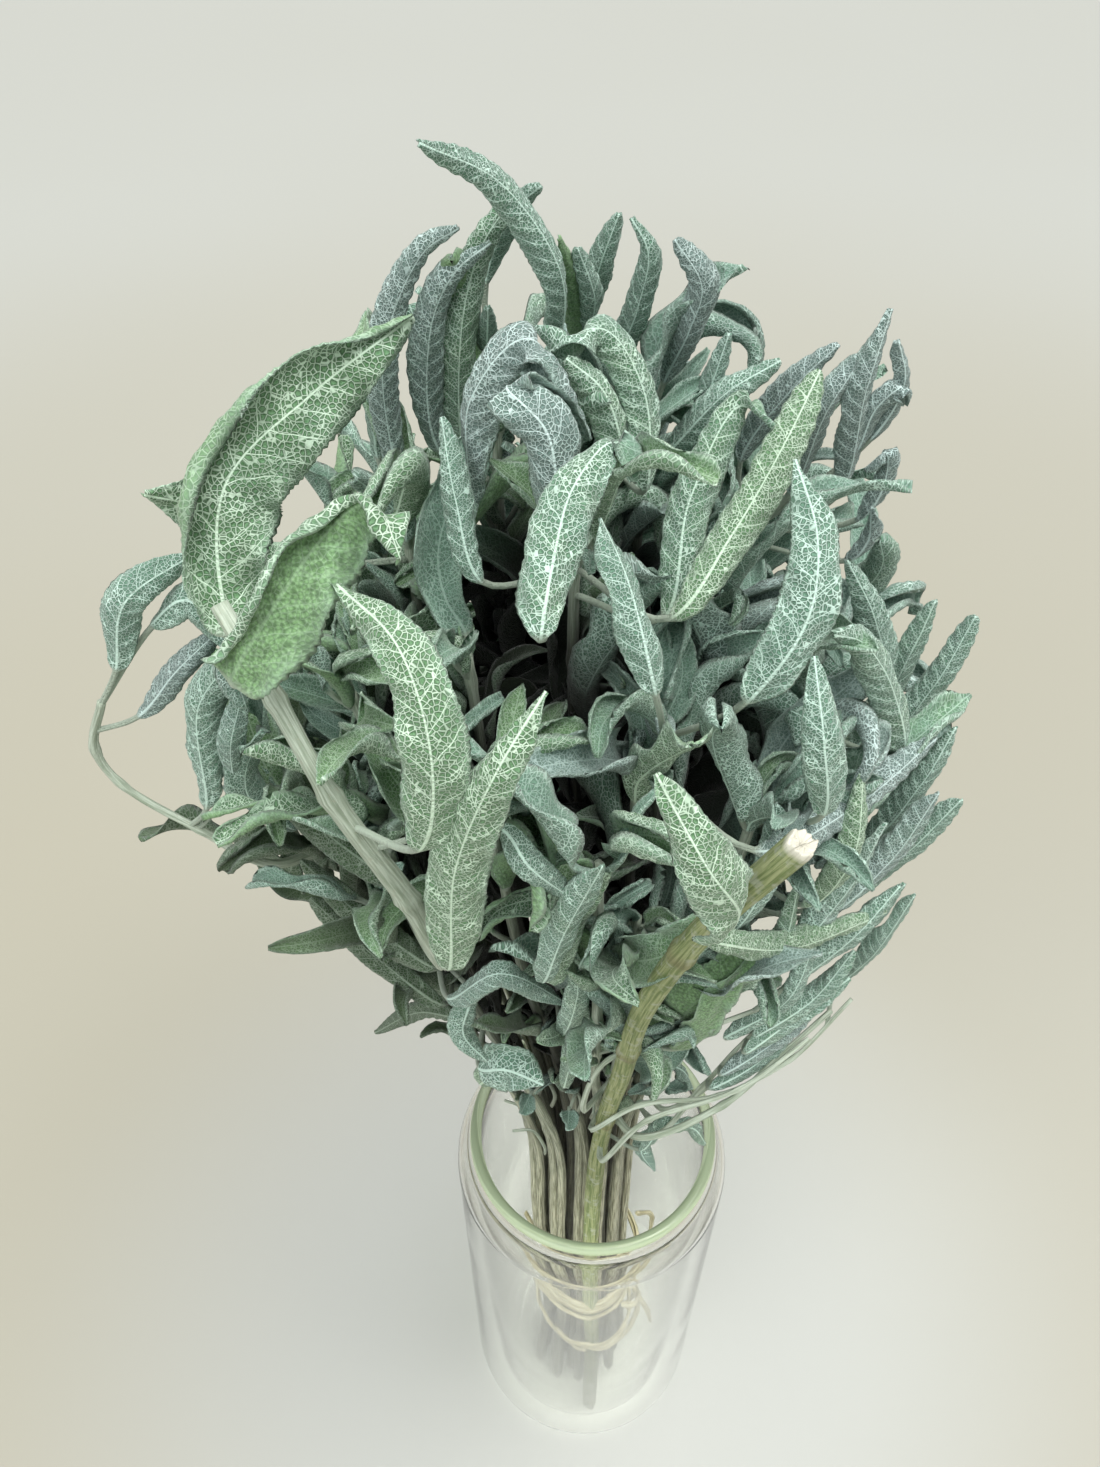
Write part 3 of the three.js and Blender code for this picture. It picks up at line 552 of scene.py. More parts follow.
# Leaves that show at the front: look, width, roll of the margins and twist in degrees, then the
# places in millimetres that the blade runs through from its base to its tip
SHOWN_LEAVES = [
    # tall leaves at the top, the first arching over to the left
    ("grey", 5.5, 120, 0, [-12, 36, 390], [-11, 30, 406], [-20, 26, 421], [-31, 18, 429]),
    ("felt", 4, 150, 0, [-8, 44, 386], [-8, 36, 402], [-11, 32, 411]),
    ("slate", 4, 150, 0, [-5, 46, 385], [-5, 36, 400], [-8, 33, 409]),
    ("slate", 5, 140, 0, [-6, 48, 388], [-4, 42, 402], [-1, 40, 412]),
    ("slate", 5, 150, 0, [0, 46, 380], [3, 40, 396], [4, 37, 407], [1, 38, 412]),
    ("mauve", 5.5, 130, 0, [9, 44, 380], [12, 36, 394], [13, 33, 403], [8, 34, 410]),
    ("slate", 4, 150, 0, [14, 34, 374], [16, 30, 387], [18, 30, 396]),
    ("slate", 3.5, 170, 0, [-24, 40, 384], [-23, 31, 400]),
    ("slate", 4, 150, 0, [-24, 46, 398], [-18, 40, 413], [-14, 38, 417]),
    # tall leaves left of the middle
    ("mauve", 5.5, 150, 0, [-41, 30, 366], [-41, 28, 393], [-33, 28, 410], [-27, 28, 414]),
    ("mauve", 6.5, 130, 0, [-33, 36, 370], [-33, 30, 396], [-28, 28, 407], [-22, 30, 411]),
    ("grey", 6.5, 110, 0, [-28, 38, 366], [-28, 32, 394], [-24, 32, 409], [-19, 34, 416]),
    ("grey", 5, 170, 40, [-24, 0, 366], [-28, 5, 379], [-30, 12, 390]),
    ("slate", 5, 140, 0, [-46, 40, 366], [-44, 34, 384], [-40, 30, 398]),
    # curled leaves in the middle
    ("mauve", 7.5, 100, 0, [-27, 14, 372], [-25, 12, 393], [-16, 12, 403], [-6, 10, 387]),
    ("mauve", 9, 80, 0, [-11, 0, 376], [-13, 0, 394], [-19, 4, 399], [-8, 8, 392]),
    ("grey", 9, 70, 60, [-14, -24, 373], [-12, -16, 382], [-9, -8, 389], [-3, -2, 393], [0, -6, 389]),
    ("grey", 6.5, 120, 0, [4, 16, 374], [3, 18, 391], [-4, 20, 401], [-13, 18, 398]),
    ("grey", 6.5, 90, 0, [0, 16, 380], [-4, 15, 393], [-10, 16, 398]),
    ("grey", 6.5, 80, -60, [4, -24, 362], [-1, -18, 379], [-5, -10, 385]),
    # long leaves at the upper left, folded along their ribs
    ("green", 17, (-190, 60), 0, [-65, -10, 362], [-64, 0, 384], [-50, 10, 395], [-34, 18, 404]),
    ("green", 12.5, 30, 0, [-64, 16, 358], [-72, 10, 374], [-79, 5, 380]),
    ("felt", 15, (-290, 8), 0, [-60, -28, 368], [-53, -26, 379], [-45, -20, 388], [-40, -18, 392],
     [-36, -22, 394], [-33, -28, 390]),
    ("green", 10.5, 30, 0, [-33, -42, 346], [-29, -44, 369], [-33, -36, 381], [-43, -24, 383]),
    ("green", 10.5, 60, 30, [-31, -38, 308], [-27, -44, 344], [-20, -45, 366], [-13, -38, 375]),
    # small leaves that hang at the far left
    ("slate", 7.5, 100, 0, [-83, 0, 309], [-78, 0, 338], [-70, 2, 346], [-68, 5, 326]),
    ("slate", 5, 140, 0, [-78, 2, 312], [-73, -3, 331], [-69, 0, 342]),
    ("slate", 7.5, 60, 0, [-94, 5, 342], [-88, 5, 358], [-77, 12, 363]),
    ("slate", 6.5, 40, 0, [-86, 8, 350], [-78, 8, 356], [-72, 6, 346]),
    ("mauve", 5, 120, 0, [-93, 5, 330], [-83, 6, 341], [-75, 8, 348]),
    # leaves of the upper right
    ("slate", 5.5, 140, 0, [8, 30, 372], [18, 26, 387], [27, 28, 392]),
    ("grey", 8, 100, 0, [7, -2, 360], [11, 8, 377], [19, 16, 390], [24, 12, 388]),
    ("green", 7.5, 120, 0, [7, -10, 366], [17, -2, 377], [26, 10, 387], [32, 20, 394]),
    ("grey", 10, 40, 0, [20, -17, 354], [28, -15, 370], [29, -8, 380], [26, 2, 388]),
    ("mauve", 5.5, 140, 0, [24, 36, 368], [31, 30, 387], [37, 30, 394]),
    ("mauve", 5.5, 140, 0, [34, 34, 362], [36, 26, 384], [41, 28, 393]),
    ("mauve", 5.5, 130, 0, [42, 32, 362], [42, 26, 388], [44, 28, 401]),
    # leaves of the right side
    ("grey", 7.5, 120, 0, [56, 2, 322], [50, -2, 343], [41, -5, 357], [35, -8, 361]),
    ("slate", 5.5, 150, 40, [53, 14, 306], [64, 13, 330], [69, 15, 347]),
    ("slate", 5.5, 140, 0, [50, 14, 310], [57, 11, 342], [59, 12, 353]),
    ("grey", 6.5, 120, 0, [54, 12, 328], [48, 10, 350], [41, 12, 362]),
    ("grey", 7.5, 70, 0, [35, -24, 334], [32, -24, 352], [30, -16, 363]),
    ("mauve", 6.5, 160, 0, [23, -28, 329], [43, -15, 325], [62, 0, 329]),
    ("slate", 5, 120, 0, [58, 0, 240], [64, -2, 262], [69, 0, 280]),
    ("green", 6.5, 100, 0, [16, -32, 308], [35, -24, 294], [59, -10, 287]),
    ("felt", 9, -20, 0, [16, -22, 252], [25, -25, 283], [34, -22, 292]),
    ("mauve", 4, 150, 60, [43, 30, 372], [45, 27, 384], [48, 26, 388], [50, 28, 384]),
    ("mauve", 3.5, 150, -60, [46, 30, 376], [49, 28, 388], [46, 27, 396]),
    ("mauve", 3.5, 160, 80, [46, 28, 360], [49, 26, 368], [48, 25, 376], [45, 26, 372]),
    ("mauve", 3, 160, 80, [45, 26, 352], [48, 24, 358], [47, 23, 366]),
    ("slate", 6, 120, 0, [54, 2, 296], [62, 0, 316], [66, 2, 330]),
    ("slate", 6, 130, 20, [50, -4, 282], [60, -6, 300], [68, -6, 318]),
    ("mauve", 6.5, 110, 0, [44, -12, 288], [56, -10, 304], [62, -8, 322]),
    ("grey", 6, 120, 40, [40, -16, 268], [52, -14, 284], [60, -10, 296]),
    ("slate", 6.5, 90, -40, [34, -18, 280], [46, -16, 300], [52, -12, 318]),
    ("slate", 5.5, 130, 0, [48, 0, 250], [58, -2, 266], [66, 0, 284]),
    ("grey", 6, 100, 60, [36, -14, 244], [48, -12, 256], [56, -8, 270]),
    ("slate", 5, 120, -60, [28, -18, 250], [40, -18, 266], [44, -14, 282]),
    ("mauve", 5, 120, 30, [30, -14, 226], [42, -12, 238], [52, -8, 252]),
    ("grey", 5.5, 90, -60, [24, -22, 272], [34, -22, 290], [36, -18, 306]),
    ("slate", 6, 80, 50, [20, -26, 300], [27, -26, 318], [28, -20, 332]),
    ("green", 5.5, 120, 0, [38, -18, 300], [44, -20, 318], [44, -14, 334]),
    # curly leaf over the cut stalk, and small leaves below the middle
    ("green", 10.5, 60, 70, [14, -48, 334], [15, -54, 346], [9, -56, 359], [2, -48, 369]),
    ("grey", 6.5, 60, 0, [-14, -34, 298], [-10, -38, 319], [-4, -38, 337]),
    ("slate", 5.5, 60, 0, [-21, -34, 342], [-16, -38, 337], [-9, -36, 326]),
    ("grey", 5.5, 80, 0, [-10, -24, 262], [-7, -30, 288], [-8, -30, 301]),
    ("grey", 5, 80, 0, [-9, -16, 224], [-7, -21, 250], [-5, -23, 271]),
    ("slate", 5.5, 60, 0, [-34, -24, 276], [-22, -30, 294], [-9, -26, 277]),
    ("green", 7.5, 10, 0, [-30, -11, 216], [-22, -18, 236], [-15, -17, 234]),
    # round leaf and small leaves over the jar's rim
    ("slate", 13, (10, 20), 0, [-29, -20, 240], [-22, -24, 246], [-14, -26, 243]),
    ("grey", 4, 90, 40, [12, -14, 185], [18, -14, 199], [27, -12, 196]),
    ("slate", 5, 60, -30, [15, -10, 190], [13, -12, 180], [17, -14, 172]),
    ("grey", 4, 70, 60, [20, -10, 189], [26, -10, 190], [31, -10, 180]),
    ("felt", 15, (60, -20), 0, [13, -18, 252], [19, -24, 276], [31, -22, 293]),
    ("grey", 6, 60, 30, [-30, -18, 268], [-32, -22, 259], [-27, -24, 250]),
    ("green", 8, 80, -30, [-13, -30, 292], [-10, -34, 315], [-3, -34, 330]),
    ("slate", 5, 70, 0, [28, -14, 219], [38, -12, 226], [48, -8, 238]),
    ("grey", 6, 80, 50, [34, -16, 240], [46, -12, 250], [58, -6, 256]),
    # dark leaves low on the left
    ("dark", 6.5, 60, 0, [-36, -18, 264], [-50, -12, 272], [-65, -4, 284]),
    ("dark", 6.5, 60, 0, [-36, -22, 284], [-50, -14, 288], [-65, -4, 297]),
    ("dark", 5, 60, 0, [-34, -9, 244], [-44, -5, 240], [-58, 0, 222]),
    ("dark", 7.5, 60, 0, [-42, -16, 304], [-54, -10, 309], [-67, -2, 316]),
]

# Side shoots that leave the bunch: radius, then the places in millimetres that each runs through
SHOOTS = [
    (2.2, [-34, -26, 293], [-38, -31, 319], [-48, -31, 346], [-56, -23, 360], [-65, -12, 370]),
    (1.1, [-73, 0, 291], [-87, 2, 300], [-101, 4, 312], [-104, 5, 321], [-99, 5, 334]),
    (1.0, [10, -20, 205], [31, -18, 218], [46, -10, 230], [57, -4, 239]),
    (0.7, [-2, -20, 209], [10, -20, 222], [30, -16, 219], [48, -10, 226], [61, -4, 244]),
    (0.8, [1, -20, 192], [12, -22, 218], [34, -18, 226], [51, -10, 236]),
    (0.7, [-4, -22, 223], [1, -24, 251], [21, -22, 260], [34, -18, 262]),
    (0.8, [14, -16, 196], [27, -10, 212], [36, -10, 236], [47, -8, 250]),
    (0.7, [18, -10, 200], [37, -6, 219], [43, -8, 246], [56, -6, 250]),
]


def habit_leaves(points, reach, i):
    """
    The leaves of one stem by the plant's own habit: opposite pairs, each pair turned from the last,
    with a small young leaf in each angle. A blade's direction turns outward faster towards its tip.
    """
    length = reach[-1]
    count = int(min(points[-1, 2] - LOWEST_LEAF, length - 8) / NODE_SPACING)
    distance = length - TOP_NODE - NODE_SPACING * np.arange(count + 1)
    places, alongs = read_curve(points, reach, np.sort(np.append(distance, length)))
    places, alongs = places[-2::-1], alongs[-2::-1]
    share = (np.arange(5)[:, None] + 0.5) / 5
    for j, (at, along) in enumerate(zip(places, alongs)):
        right = np.cross([0, -1, 0], along)
        right /= np.linalg.norm(right)
        away = np.cross(along, right)
        low = float(np.clip((at[2] - (150 if at[0] > 0 else 175)) / 110, 0.4, 1))
        for hand in (0, 1, 2, 3):
            n = 80 * i + 4 * j + hand
            young = hand > 1
            angle = math.pi * (hand + 0.5 * j + 0.35 * i) + (1.6 if young else 0.8) * (vary(n) - 0.5)
            out = right * math.cos(angle) + away * math.sin(angle)
            sideways = np.cross(along, out)
            size = (12 + 12 * vary(n + 5)) if young else (28 + 20 * vary(n + 5)) * (0.85 if j == 0 else 1)
            size *= low
            lean = 2 + 24 * vary(n + 3)
            turn = (30 + 210 * vary(n + 9) ** 1.6) * low
            heading = np.radians(lean + turn * share ** 2)
            way = np.cos(heading) * along + np.sin(heading) * out
            way = way + 0.5 * np.sin(4 * share + n) * sideways
            base = at + (2 if young else 4) * out + (3 if young else 7) * along
            blade = np.vstack([base, base + np.cumsum(way, axis=0) * size / 5])
            yield n, at, list(blade), size * (0.14 + 0.07 * vary(n + 2)) + 1.2, out, young


# Where the sheaf stands open at the front: the middle of each gap and its half-width in millimetres
GAPS = [
    ([-23, -10, 318], 11), ([15, -10, 322], 12), ([-23, -16, 284], 12), ([-13, -4, 352], 8),
    ([0, -28, 324], 8),
]


def in_gap(place):
    """Whether a place lies in one of the open gaps, which are balls drawn out towards the front."""
    return any(np.linalg.norm((place - np.array(middle)) * [1, 0.45, 0.7]) < half for middle, half in GAPS)


def new_group(name, inputs, outputs):
    """A shader node group with named inputs and outputs: the group, its inputs and its outputs."""
    group = bpy.data.node_groups.new(name, "ShaderNodeTree")
    for way, sockets in (("INPUT", inputs), ("OUTPUT", outputs)):
        for label, kind in sockets.items():
            group.interface.new_socket(label, in_out=way, socket_type="NodeSocket" + kind)
    return group, group.nodes.new("NodeGroupInput").outputs, group.nodes.new("NodeGroupOutput").inputs


def read_point(tree, name, output="Vector"):
    """What a part holds at each of its points under a name."""
    return add_node(tree, "ShaderNodeAttribute", {"attribute_name": name}).outputs[output]


def vein_group():
    """
    Sage venation from a place on the blade in millimetres: distance from the rib gives the rib,
    repeated forward-curving lines give the side veins, and cell borders at two sizes give the net.
    """
    group, inputs, outputs = new_group("sage_veins", {"Blade": "Vector"}, {"Veins": "Float", "Dome": "Float"})
    source = inputs["Blade"]
    parts = add_node(group, "ShaderNodeSeparateXYZ", Vector=source).outputs
    wobble = add_node(group, "ShaderNodeTexNoise", Vector=source, Scale=0.2, Detail=1.0).outputs[0]
    from_rib = maths(group, "ABSOLUTE", parts["Y"])
    taper = soft_step(group, parts["X"], 0, 30, 0.14, 0)
    rib = soft_step(group, maths(group, "SUBTRACT", from_rib, taper), 0.06, 0.22, 0.9, 0)
    along = maths(group, "MULTIPLY_ADD", from_rib, -VEIN_LEAN, parts["X"])
    squared = maths(group, "MULTIPLY", from_rib, from_rib)
    along = maths(group, "MULTIPLY_ADD", squared, -VEIN_BEND, along)
    along = maths(group, "MULTIPLY_ADD", wobble, 2.6, along)
    turn = maths(group, "MULTIPLY_ADD", maths(group, "GREATER_THAN", parts["Y"], 0.0), 0.5, parts["Z"])
    count = maths(group, "FRACT", maths(group, "MULTIPLY_ADD", along, 1 / VEIN_SPACING, turn))
    off_vein = maths(group, "ABSOLUTE", maths(group, "SUBTRACT", count, 0.5))
    side_veins = soft_step(group, off_vein, 0.012, 0.036, 0.9, 0)
    noise = add_node(group, "ShaderNodeTexNoise", Vector=source, Scale=0.9, Detail=1.0).outputs["Color"]
    bent = maths(group, "MULTIPLY_ADD", noise, (0.12, 0.12, 0), source, kind="ShaderNodeVectorMath")
    borders = {"feature": "DISTANCE_TO_EDGE"}
    edge = add_node(group, "ShaderNodeTexVoronoi", borders, Vector=bent, Scale=1.25).outputs[0]
    small = add_node(group, "ShaderNodeTexVoronoi", borders, Vector=bent, Scale=2.4).outputs[0]
    net = maths(group, "MULTIPLY", soft_step(group, edge, 0.02, 0.14, 0.9, 0),
                soft_step(group, wobble, 0.3, 0.65, 0.6, 1))
    net = maths(group, "MAXIMUM", net, soft_step(group, small, 0.02, 0.2, 0.1, 0))
    veins = maths(group, "MAXIMUM", maths(group, "MAXIMUM", rib, side_veins), net)
    group.links.new(veins, outputs["Veins"])
    group.links.new(soft_step(group, edge, 0.0, 0.5), outputs["Dome"])
    return group


def painted_shade_group():
    """Painted shade: a colour darkened towards a shade colour by how much painted shade falls at each point.
    """
    group, inputs, outputs = new_group(
        "painted_shade_blend", {"Colour": "Color", "Old Colour": "Color"}, {"Colour": "Color"})
    shade_amount = read_point(group, "shade_amount", "Fac")
    group.links.new(blend(group, shade_amount, inputs["Colour"], inputs["Old Colour"]), outputs["Colour"])
    return group


def fibre_group():
    """Fibres along a stem or strip: noise over a place on it that is scaled along and across it."""
    group, inputs, outputs = new_group(
        "fibres", {"Blade": "Vector", "Along": "Float", "Across": "Float", "Scale": "Float"},
        {"Fibres": "Float"})
    drawn_out = add_node(group, "ShaderNodeCombineXYZ", X=inputs["Along"], Y=inputs["Across"], Z=1.0)
    place = maths(group, "MULTIPLY", inputs["Blade"], drawn_out.outputs[0], kind="ShaderNodeVectorMath")
    noise = add_node(group, "ShaderNodeTexNoise", Vector=place, Scale=inputs["Scale"], Detail=4.0)
    group.links.new(noise.outputs[0], outputs["Fibres"])
    return group


painted_shade_blend, fibre_streaks = painted_shade_group(), fibre_group()


def add_group(tree, group, **values):
    """Places a node group in a material with its own values, and gives its outputs."""
    return add_node(tree, "ShaderNodeGroup", {"node_tree": group}, **values).outputs


def leaf_finish():
    """Dried sage leaf: pale raised veins over grey-green cells on one face, pebbled felt on the other."""
    material, tree = new_material("dried_sage_leaf")
    blade = read_point(tree, "blade")
    parts = add_node(tree, "ShaderNodeSeparateXYZ", Vector=read_point(tree, "finish")).outputs
    veined, tone, stalk = parts["X"], parts["Y"], parts["Z"]
    pattern = add_group(tree, vein_group(), Blade=blade)
    veins, dome = pattern["Veins"], pattern["Dome"]
    patches = add_node(tree, "ShaderNodeTexNoise", Vector=blade, Scale=0.11, Detail=3.0).outputs[0]
    pebbles = add_node(tree, "ShaderNodeTexVoronoi", Vector=blade, Scale=1.9).outputs["Distance"]
    down = add_node(tree, "ShaderNodeTexNoise", Vector=blade, Scale=4.5, Detail=2.0).outputs[0]
    tone = maths(tree, "MULTIPLY_ADD", maths(tree, "SUBTRACT", patches, 0.5), 0.5, tone)
    to_grey = soft_step(tree, tone, 0.05, 0.5)
    to_mauve = soft_step(tree, tone, 0.6, 1.05)

    def three_tones(green, grey, mauve):
        """A colour that goes from green through grey to mauve with the leaf's tone."""
        return blend(tree, to_mauve, blend(tree, to_grey, green, grey), mauve)

    cells = three_tones((0.10, 0.255, 0.095), (0.107, 0.256, 0.165), (0.142, 0.226, 0.207))
    # Painted shade: deep is the darker colour of the pits at each cell's rim, beside the raised veins.
    deep = three_tones((0.027, 0.096, 0.022), (0.03, 0.096, 0.056), (0.048, 0.087, 0.075))
    lines = three_tones((0.78, 1.0, 0.78), (0.74, 0.99, 0.87), (0.76, 0.95, 0.92))
    felt = three_tones((0.205, 0.385, 0.155), (0.20, 0.365, 0.27), (0.255, 0.36, 0.335))
    felt_dark = blend(tree, to_grey, (0.08, 0.165, 0.055), (0.10, 0.18, 0.138))
    # Painted shade in the pits: each cell darkens towards its rim.
    cells = blend(tree, soft_step(tree, dome, 0.0, 0.7), deep, cells)
    net_side = blend(tree, veins, cells, lines)
    grain = maths(tree, "MULTIPLY", pebbles, maths(tree, "ADD", down, 0.4))
    felt_side = blend(tree, soft_step(tree, grain, 0.1, 0.75), felt, felt_dark)
    felt_side = blend(tree, maths(tree, "MULTIPLY", veins, 0.16), felt_side, lines)
    colour = blend(tree, veined, felt_side, net_side)
    colour = blend(tree, stalk, colour, (0.42, 0.50, 0.40))
    colour = blend(tree, maths(tree, "MULTIPLY", down, 0.12), colour, (0.54, 0.70, 0.60))
    # Painted highlight: the rolled margins are lightened towards pale green.
    edge = maths(tree, "MULTIPLY", read_point(tree, "edge", "Fac"), 0.4)
    colour = blend(tree, edge, colour, (0.56, 0.77, 0.63))
    dark = soft_step(tree, tone, -0.4, -0.15, 0.6, 0)
    colour = blend(tree, dark, colour, (0.045, 0.06, 0.028))
    # Painted shade: deep in the sheaf and low in the jar the leaf darkens towards near black.
    colour = add_group(tree, painted_shade_blend, Colour=colour, Old_Colour=(0.006, 0.009, 0.004, 1))["Colour"]
    not_veined = maths(tree, "SUBTRACT", 1.0, veined)
    felt_height = maths(tree, "MULTIPLY", maths(tree, "SUBTRACT", 1.0, pebbles), not_veined)
    height = maths(tree, "MULTIPLY_ADD", felt_height, 0.6, maths(tree, "MULTIPLY", veins, veined))
    height = maths(tree, "MULTIPLY_ADD", maths(tree, "MULTIPLY", dome, veined), 0.9, height)
    height = maths(tree, "MULTIPLY_ADD", down, 0.25, height)
    bump = add_node(tree, "ShaderNodeBump", Height=height, Strength=0.75, Distance=0.00035)
    surface = add_node(
        tree, "ShaderNodeBsdfPrincipled", Base_Color=colour, Roughness=0.85, Normal=bump.outputs[0],
        Sheen_Weight=0.25, Sheen_Roughness=0.5, Specular_IOR_Level=0.25)
    add_node(tree, "ShaderNodeOutputMaterial", Surface=surface.outputs[0])
    return material


def stem_finish():
    """Dried sage stem: brown-grey and streaked at its foot, felted pale grey-green towards its tip."""
    material, tree = new_material("dried_sage_stem")
    blade = read_point(tree, "blade")
    streaks = add_group(tree, fibre_streaks, Blade=blade, Along=0.09, Across=1.6, Scale=1.6)["Fibres"]
    specks = add_node(tree, "ShaderNodeTexNoise", Vector=blade, Scale=1.1, Detail=3.0).outputs[0]
    downy_share = add_node(tree, "ShaderNodeSeparateXYZ", Vector=read_point(tree, "finish")).outputs["X"]
    upward = soft_step(tree, downy_share, 0.35, 0.85)
    woody = blend(tree, soft_step(tree, streaks, 0.35, 0.65), (0.17, 0.17, 0.10), (0.56, 0.56, 0.40))
    downy = blend(tree, soft_step(tree, streaks, 0.3, 0.7), (0.30, 0.37, 0.27), (0.58, 0.66, 0.55))
    colour = blend(tree, upward, woody, downy)
    colour = blend(tree, soft_step(tree, specks, 0.55, 0.75, 0, 0.5), colour, (0.44, 0.45, 0.34))
    # Painted shade: inside the sheaf and towards the feet the stem darkens towards near black.
    colour = add_group(tree, painted_shade_blend, Colour=colour, Old_Colour=(0.02, 0.022, 0.012, 1))["Colour"]
    height = maths(tree, "ADD", streaks, maths(tree, "MULTIPLY", specks, 0.5))
    bump = add_node(tree, "ShaderNodeBump", Height=height, Strength=0.7, Distance=0.0005)
    surface = add_node(
        tree, "ShaderNodeBsdfPrincipled", Base_Color=colour, Roughness=0.8, Normal=bump.outputs[0],
        Sheen_Weight=0.15, Specular_IOR_Level=0.3)
    add_node(tree, "ShaderNodeOutputMaterial", Surface=surface.outputs[0])
    return material


def painted_shade_depth(points):
    """
    Painted shade: how dark each point is painted. In the sheaf it deepens inwards from the skin and down from
    the tips, weaker among the bare stems; below the tie it darkens the stems again towards their feet.
    """
    x, y, half_x, half_y = bundle_at(points[:, 2])
    out = np.hypot((points[:, 0] - x) / half_x, (points[:, 1] - y) / half_y)
    below = TALLEST_STEM - EDGE_DROP * np.minimum(out, 1) ** 1.5 - points[:, 2]
    leafy = np.clip((points[:, 2] - 180) / 30, 0, 1)
    inside = np.clip((0.86 + 0.13 * leafy - out) / 0.18, 0, 1) * np.clip((below - 6) / 20, 0, 1)
    foot = np.clip((95 - points[:, 2]) / 35, 0, 1)
    return np.maximum(inside * (0.75 + 0.22 * leafy), 0.85 * foot)


def join_parts(name, parts, materials):
    """One mesh from the parts of a piece, with what its materials read kept at each of its points."""
    together = {key: np.concatenate([part[key] for part in parts])
                for key in ("points", "blade", "finish", "edge", "shade_share")}
    offsets = np.cumsum([0] + [len(part["points"]) for part in parts])
    quads = np.concatenate([part["quads"] + offset for part, offset in zip(parts, offsets)])
    ends = [end + offset for part, offset in zip(parts, offsets) for end in part["ends"]]
    mesh = build_mesh(name, together["points"] * MM, quads, ends, materials)
    slots = [np.full(len(part[faces]), part["slot"]) for faces in ("quads", "ends") for part in parts]
    mesh.polygons.foreach_set("material_index", np.concatenate(slots).astype(np.int32))
    for label in ("blade", "finish"):
        layer = mesh.attributes.new(label, "FLOAT_VECTOR", "POINT")
        layer.data.foreach_set("vector", together[label].astype(np.float32).ravel())
    # How much painted shade each point takes: its depth in the sheaf times the part's share.
    shade_amount = painted_shade_depth(together["points"]) * together["shade_share"]
    for label, values in (("shade_amount", shade_amount), ("edge", together["edge"])):
        layer = mesh.attributes.new(label, "FLOAT", "POINT")
        layer.data.foreach_set("value", values.astype(np.float32))
    return mesh


leaf_material, stem_material = leaf_finish(), stem_finish()
FRONT = np.array([0.1, -0.8, 0.6])
curves = [smooth_curve(stem_route(i)) for i in range(STEM_COUNT)]
sprigs = [[] for _ in curves]
for i, (points, reach, _) in enumerate(curves):
    nodes = reach[-1] - TOP_NODE - NODE_SPACING * np.arange(8)
    sprigs[i].append(stem_part(stem_route(i), STEM_RADIUS, 0.45, nodes, 130, i))

carriers = [(i, points) for i, (points, _, _) in enumerate(curves)]
for radius, *places in SHOOTS:
    nearest = [(nearest_root(points, places[0]), i) for i, points in carriers[:STEM_COUNT]]
    (_, root), i = min(nearest, key=lambda pair: pair[0][0])
    route = [root, *places]
    sprigs[i].append(stem_part(route, radius, 0.3, smooth_curve(route)[2][2:-1], 70, i + 0.5, 0.15))
    carriers.append((i, smooth_curve(route)[0]))

for n, (kind, width, roll, twist, *places) in enumerate(SHOWN_LEAVES):
    nearest = [(nearest_root(points, places[0]), i) for i, points in carriers]
    (_, root), i = min(nearest, key=lambda pair: pair[0][0])
    sprigs[i].append(leaf_part(root, places, kind, width, roll, twist, FRONT, 900 + n, "shown"))

LEFT_KINDS = ("grey", "green", "felt", "slate", "green", "grey", "green")
RIGHT_KINDS = ("slate", "mauve", "grey", "slate", "mauve", "grey", "slate")


def side_branch(i):
    """A side branch of an outer stem: it forks inside the jar, runs beside its stem and curves out."""
    out = way_out(i)
    lean = 0.5 * (vary(i) - 0.5)
    low, high = 205 + 45 * vary(i + 2), 290 + 40 * vary(i + 6)
    shares = ((20, out, -lean), (40, out, 0), (66, out, 0.2), (115, out, 0.24), (165, out, 0.22),
              (low, out, 0), (low + 16, out + 0.06, 0), (low + 40, out + 0.1, 0), (high, out + 0.08, 0))
    angle = i * GOLDEN_ANGLE + lean
    return [stem_place(slot_of(share, angle + turn), height) for height, share, turn in shares]


BRANCH_LEAVES = 5
OUTER_STEMS = range(9, STEM_COUNT)
shoots = list(enumerate(curves))
for i in OUTER_STEMS:
    route = side_branch(i)
    points, reach, stops = smooth_curve(route)
    sprigs[i].append(stem_part(route, BRANCH_RADIUS, 0.3, stops[BRANCH_LEAVES:-1], 90, i + 0.3))
    upper = reach > stops[BRANCH_LEAVES]
    shoots.append((i, (points[upper], reach[upper] - reach[upper][0], None)))

# Dried leaf stalks and scraps among the stems near the jar's rim
for n in range(SCRAP_COUNT):
    angle = n * GOLDEN_ANGLE
    around = np.array([math.cos(angle), math.sin(angle), 0])
    start = np.array(stem_place(slot_of(0.8, angle), 150 + 40 * vary(n + 1)))
    aside = 5 * (vary(n + 4) - 0.5) * np.array([-around[1], around[0], 0])
    route = [start, start + [0, 0, 9] + 1.2 * around + aside, start + [0, 0, 20] + (3 + 4 * vary(n)) * around]
    route.append(route[-1] + [0, 0, 8 * vary(n + 2) - 4] + 5 * around - aside)
    sprigs[n + 3].append(stem_part(route, SCRAP_RADIUS, 0.3, [], 22, n + 0.7, 0.4))
    if n % 2:
        tip = [route[-1] + 2 * k * around + [0, 0, -1.6 * k * k * (vary(n + 8) - 0.3)] for k in range(4)]
        sprigs[n + 3].append(leaf_part(route[-1] - around, tip, "slate", 4.5, 90, 90, around, n + 3, "small"))

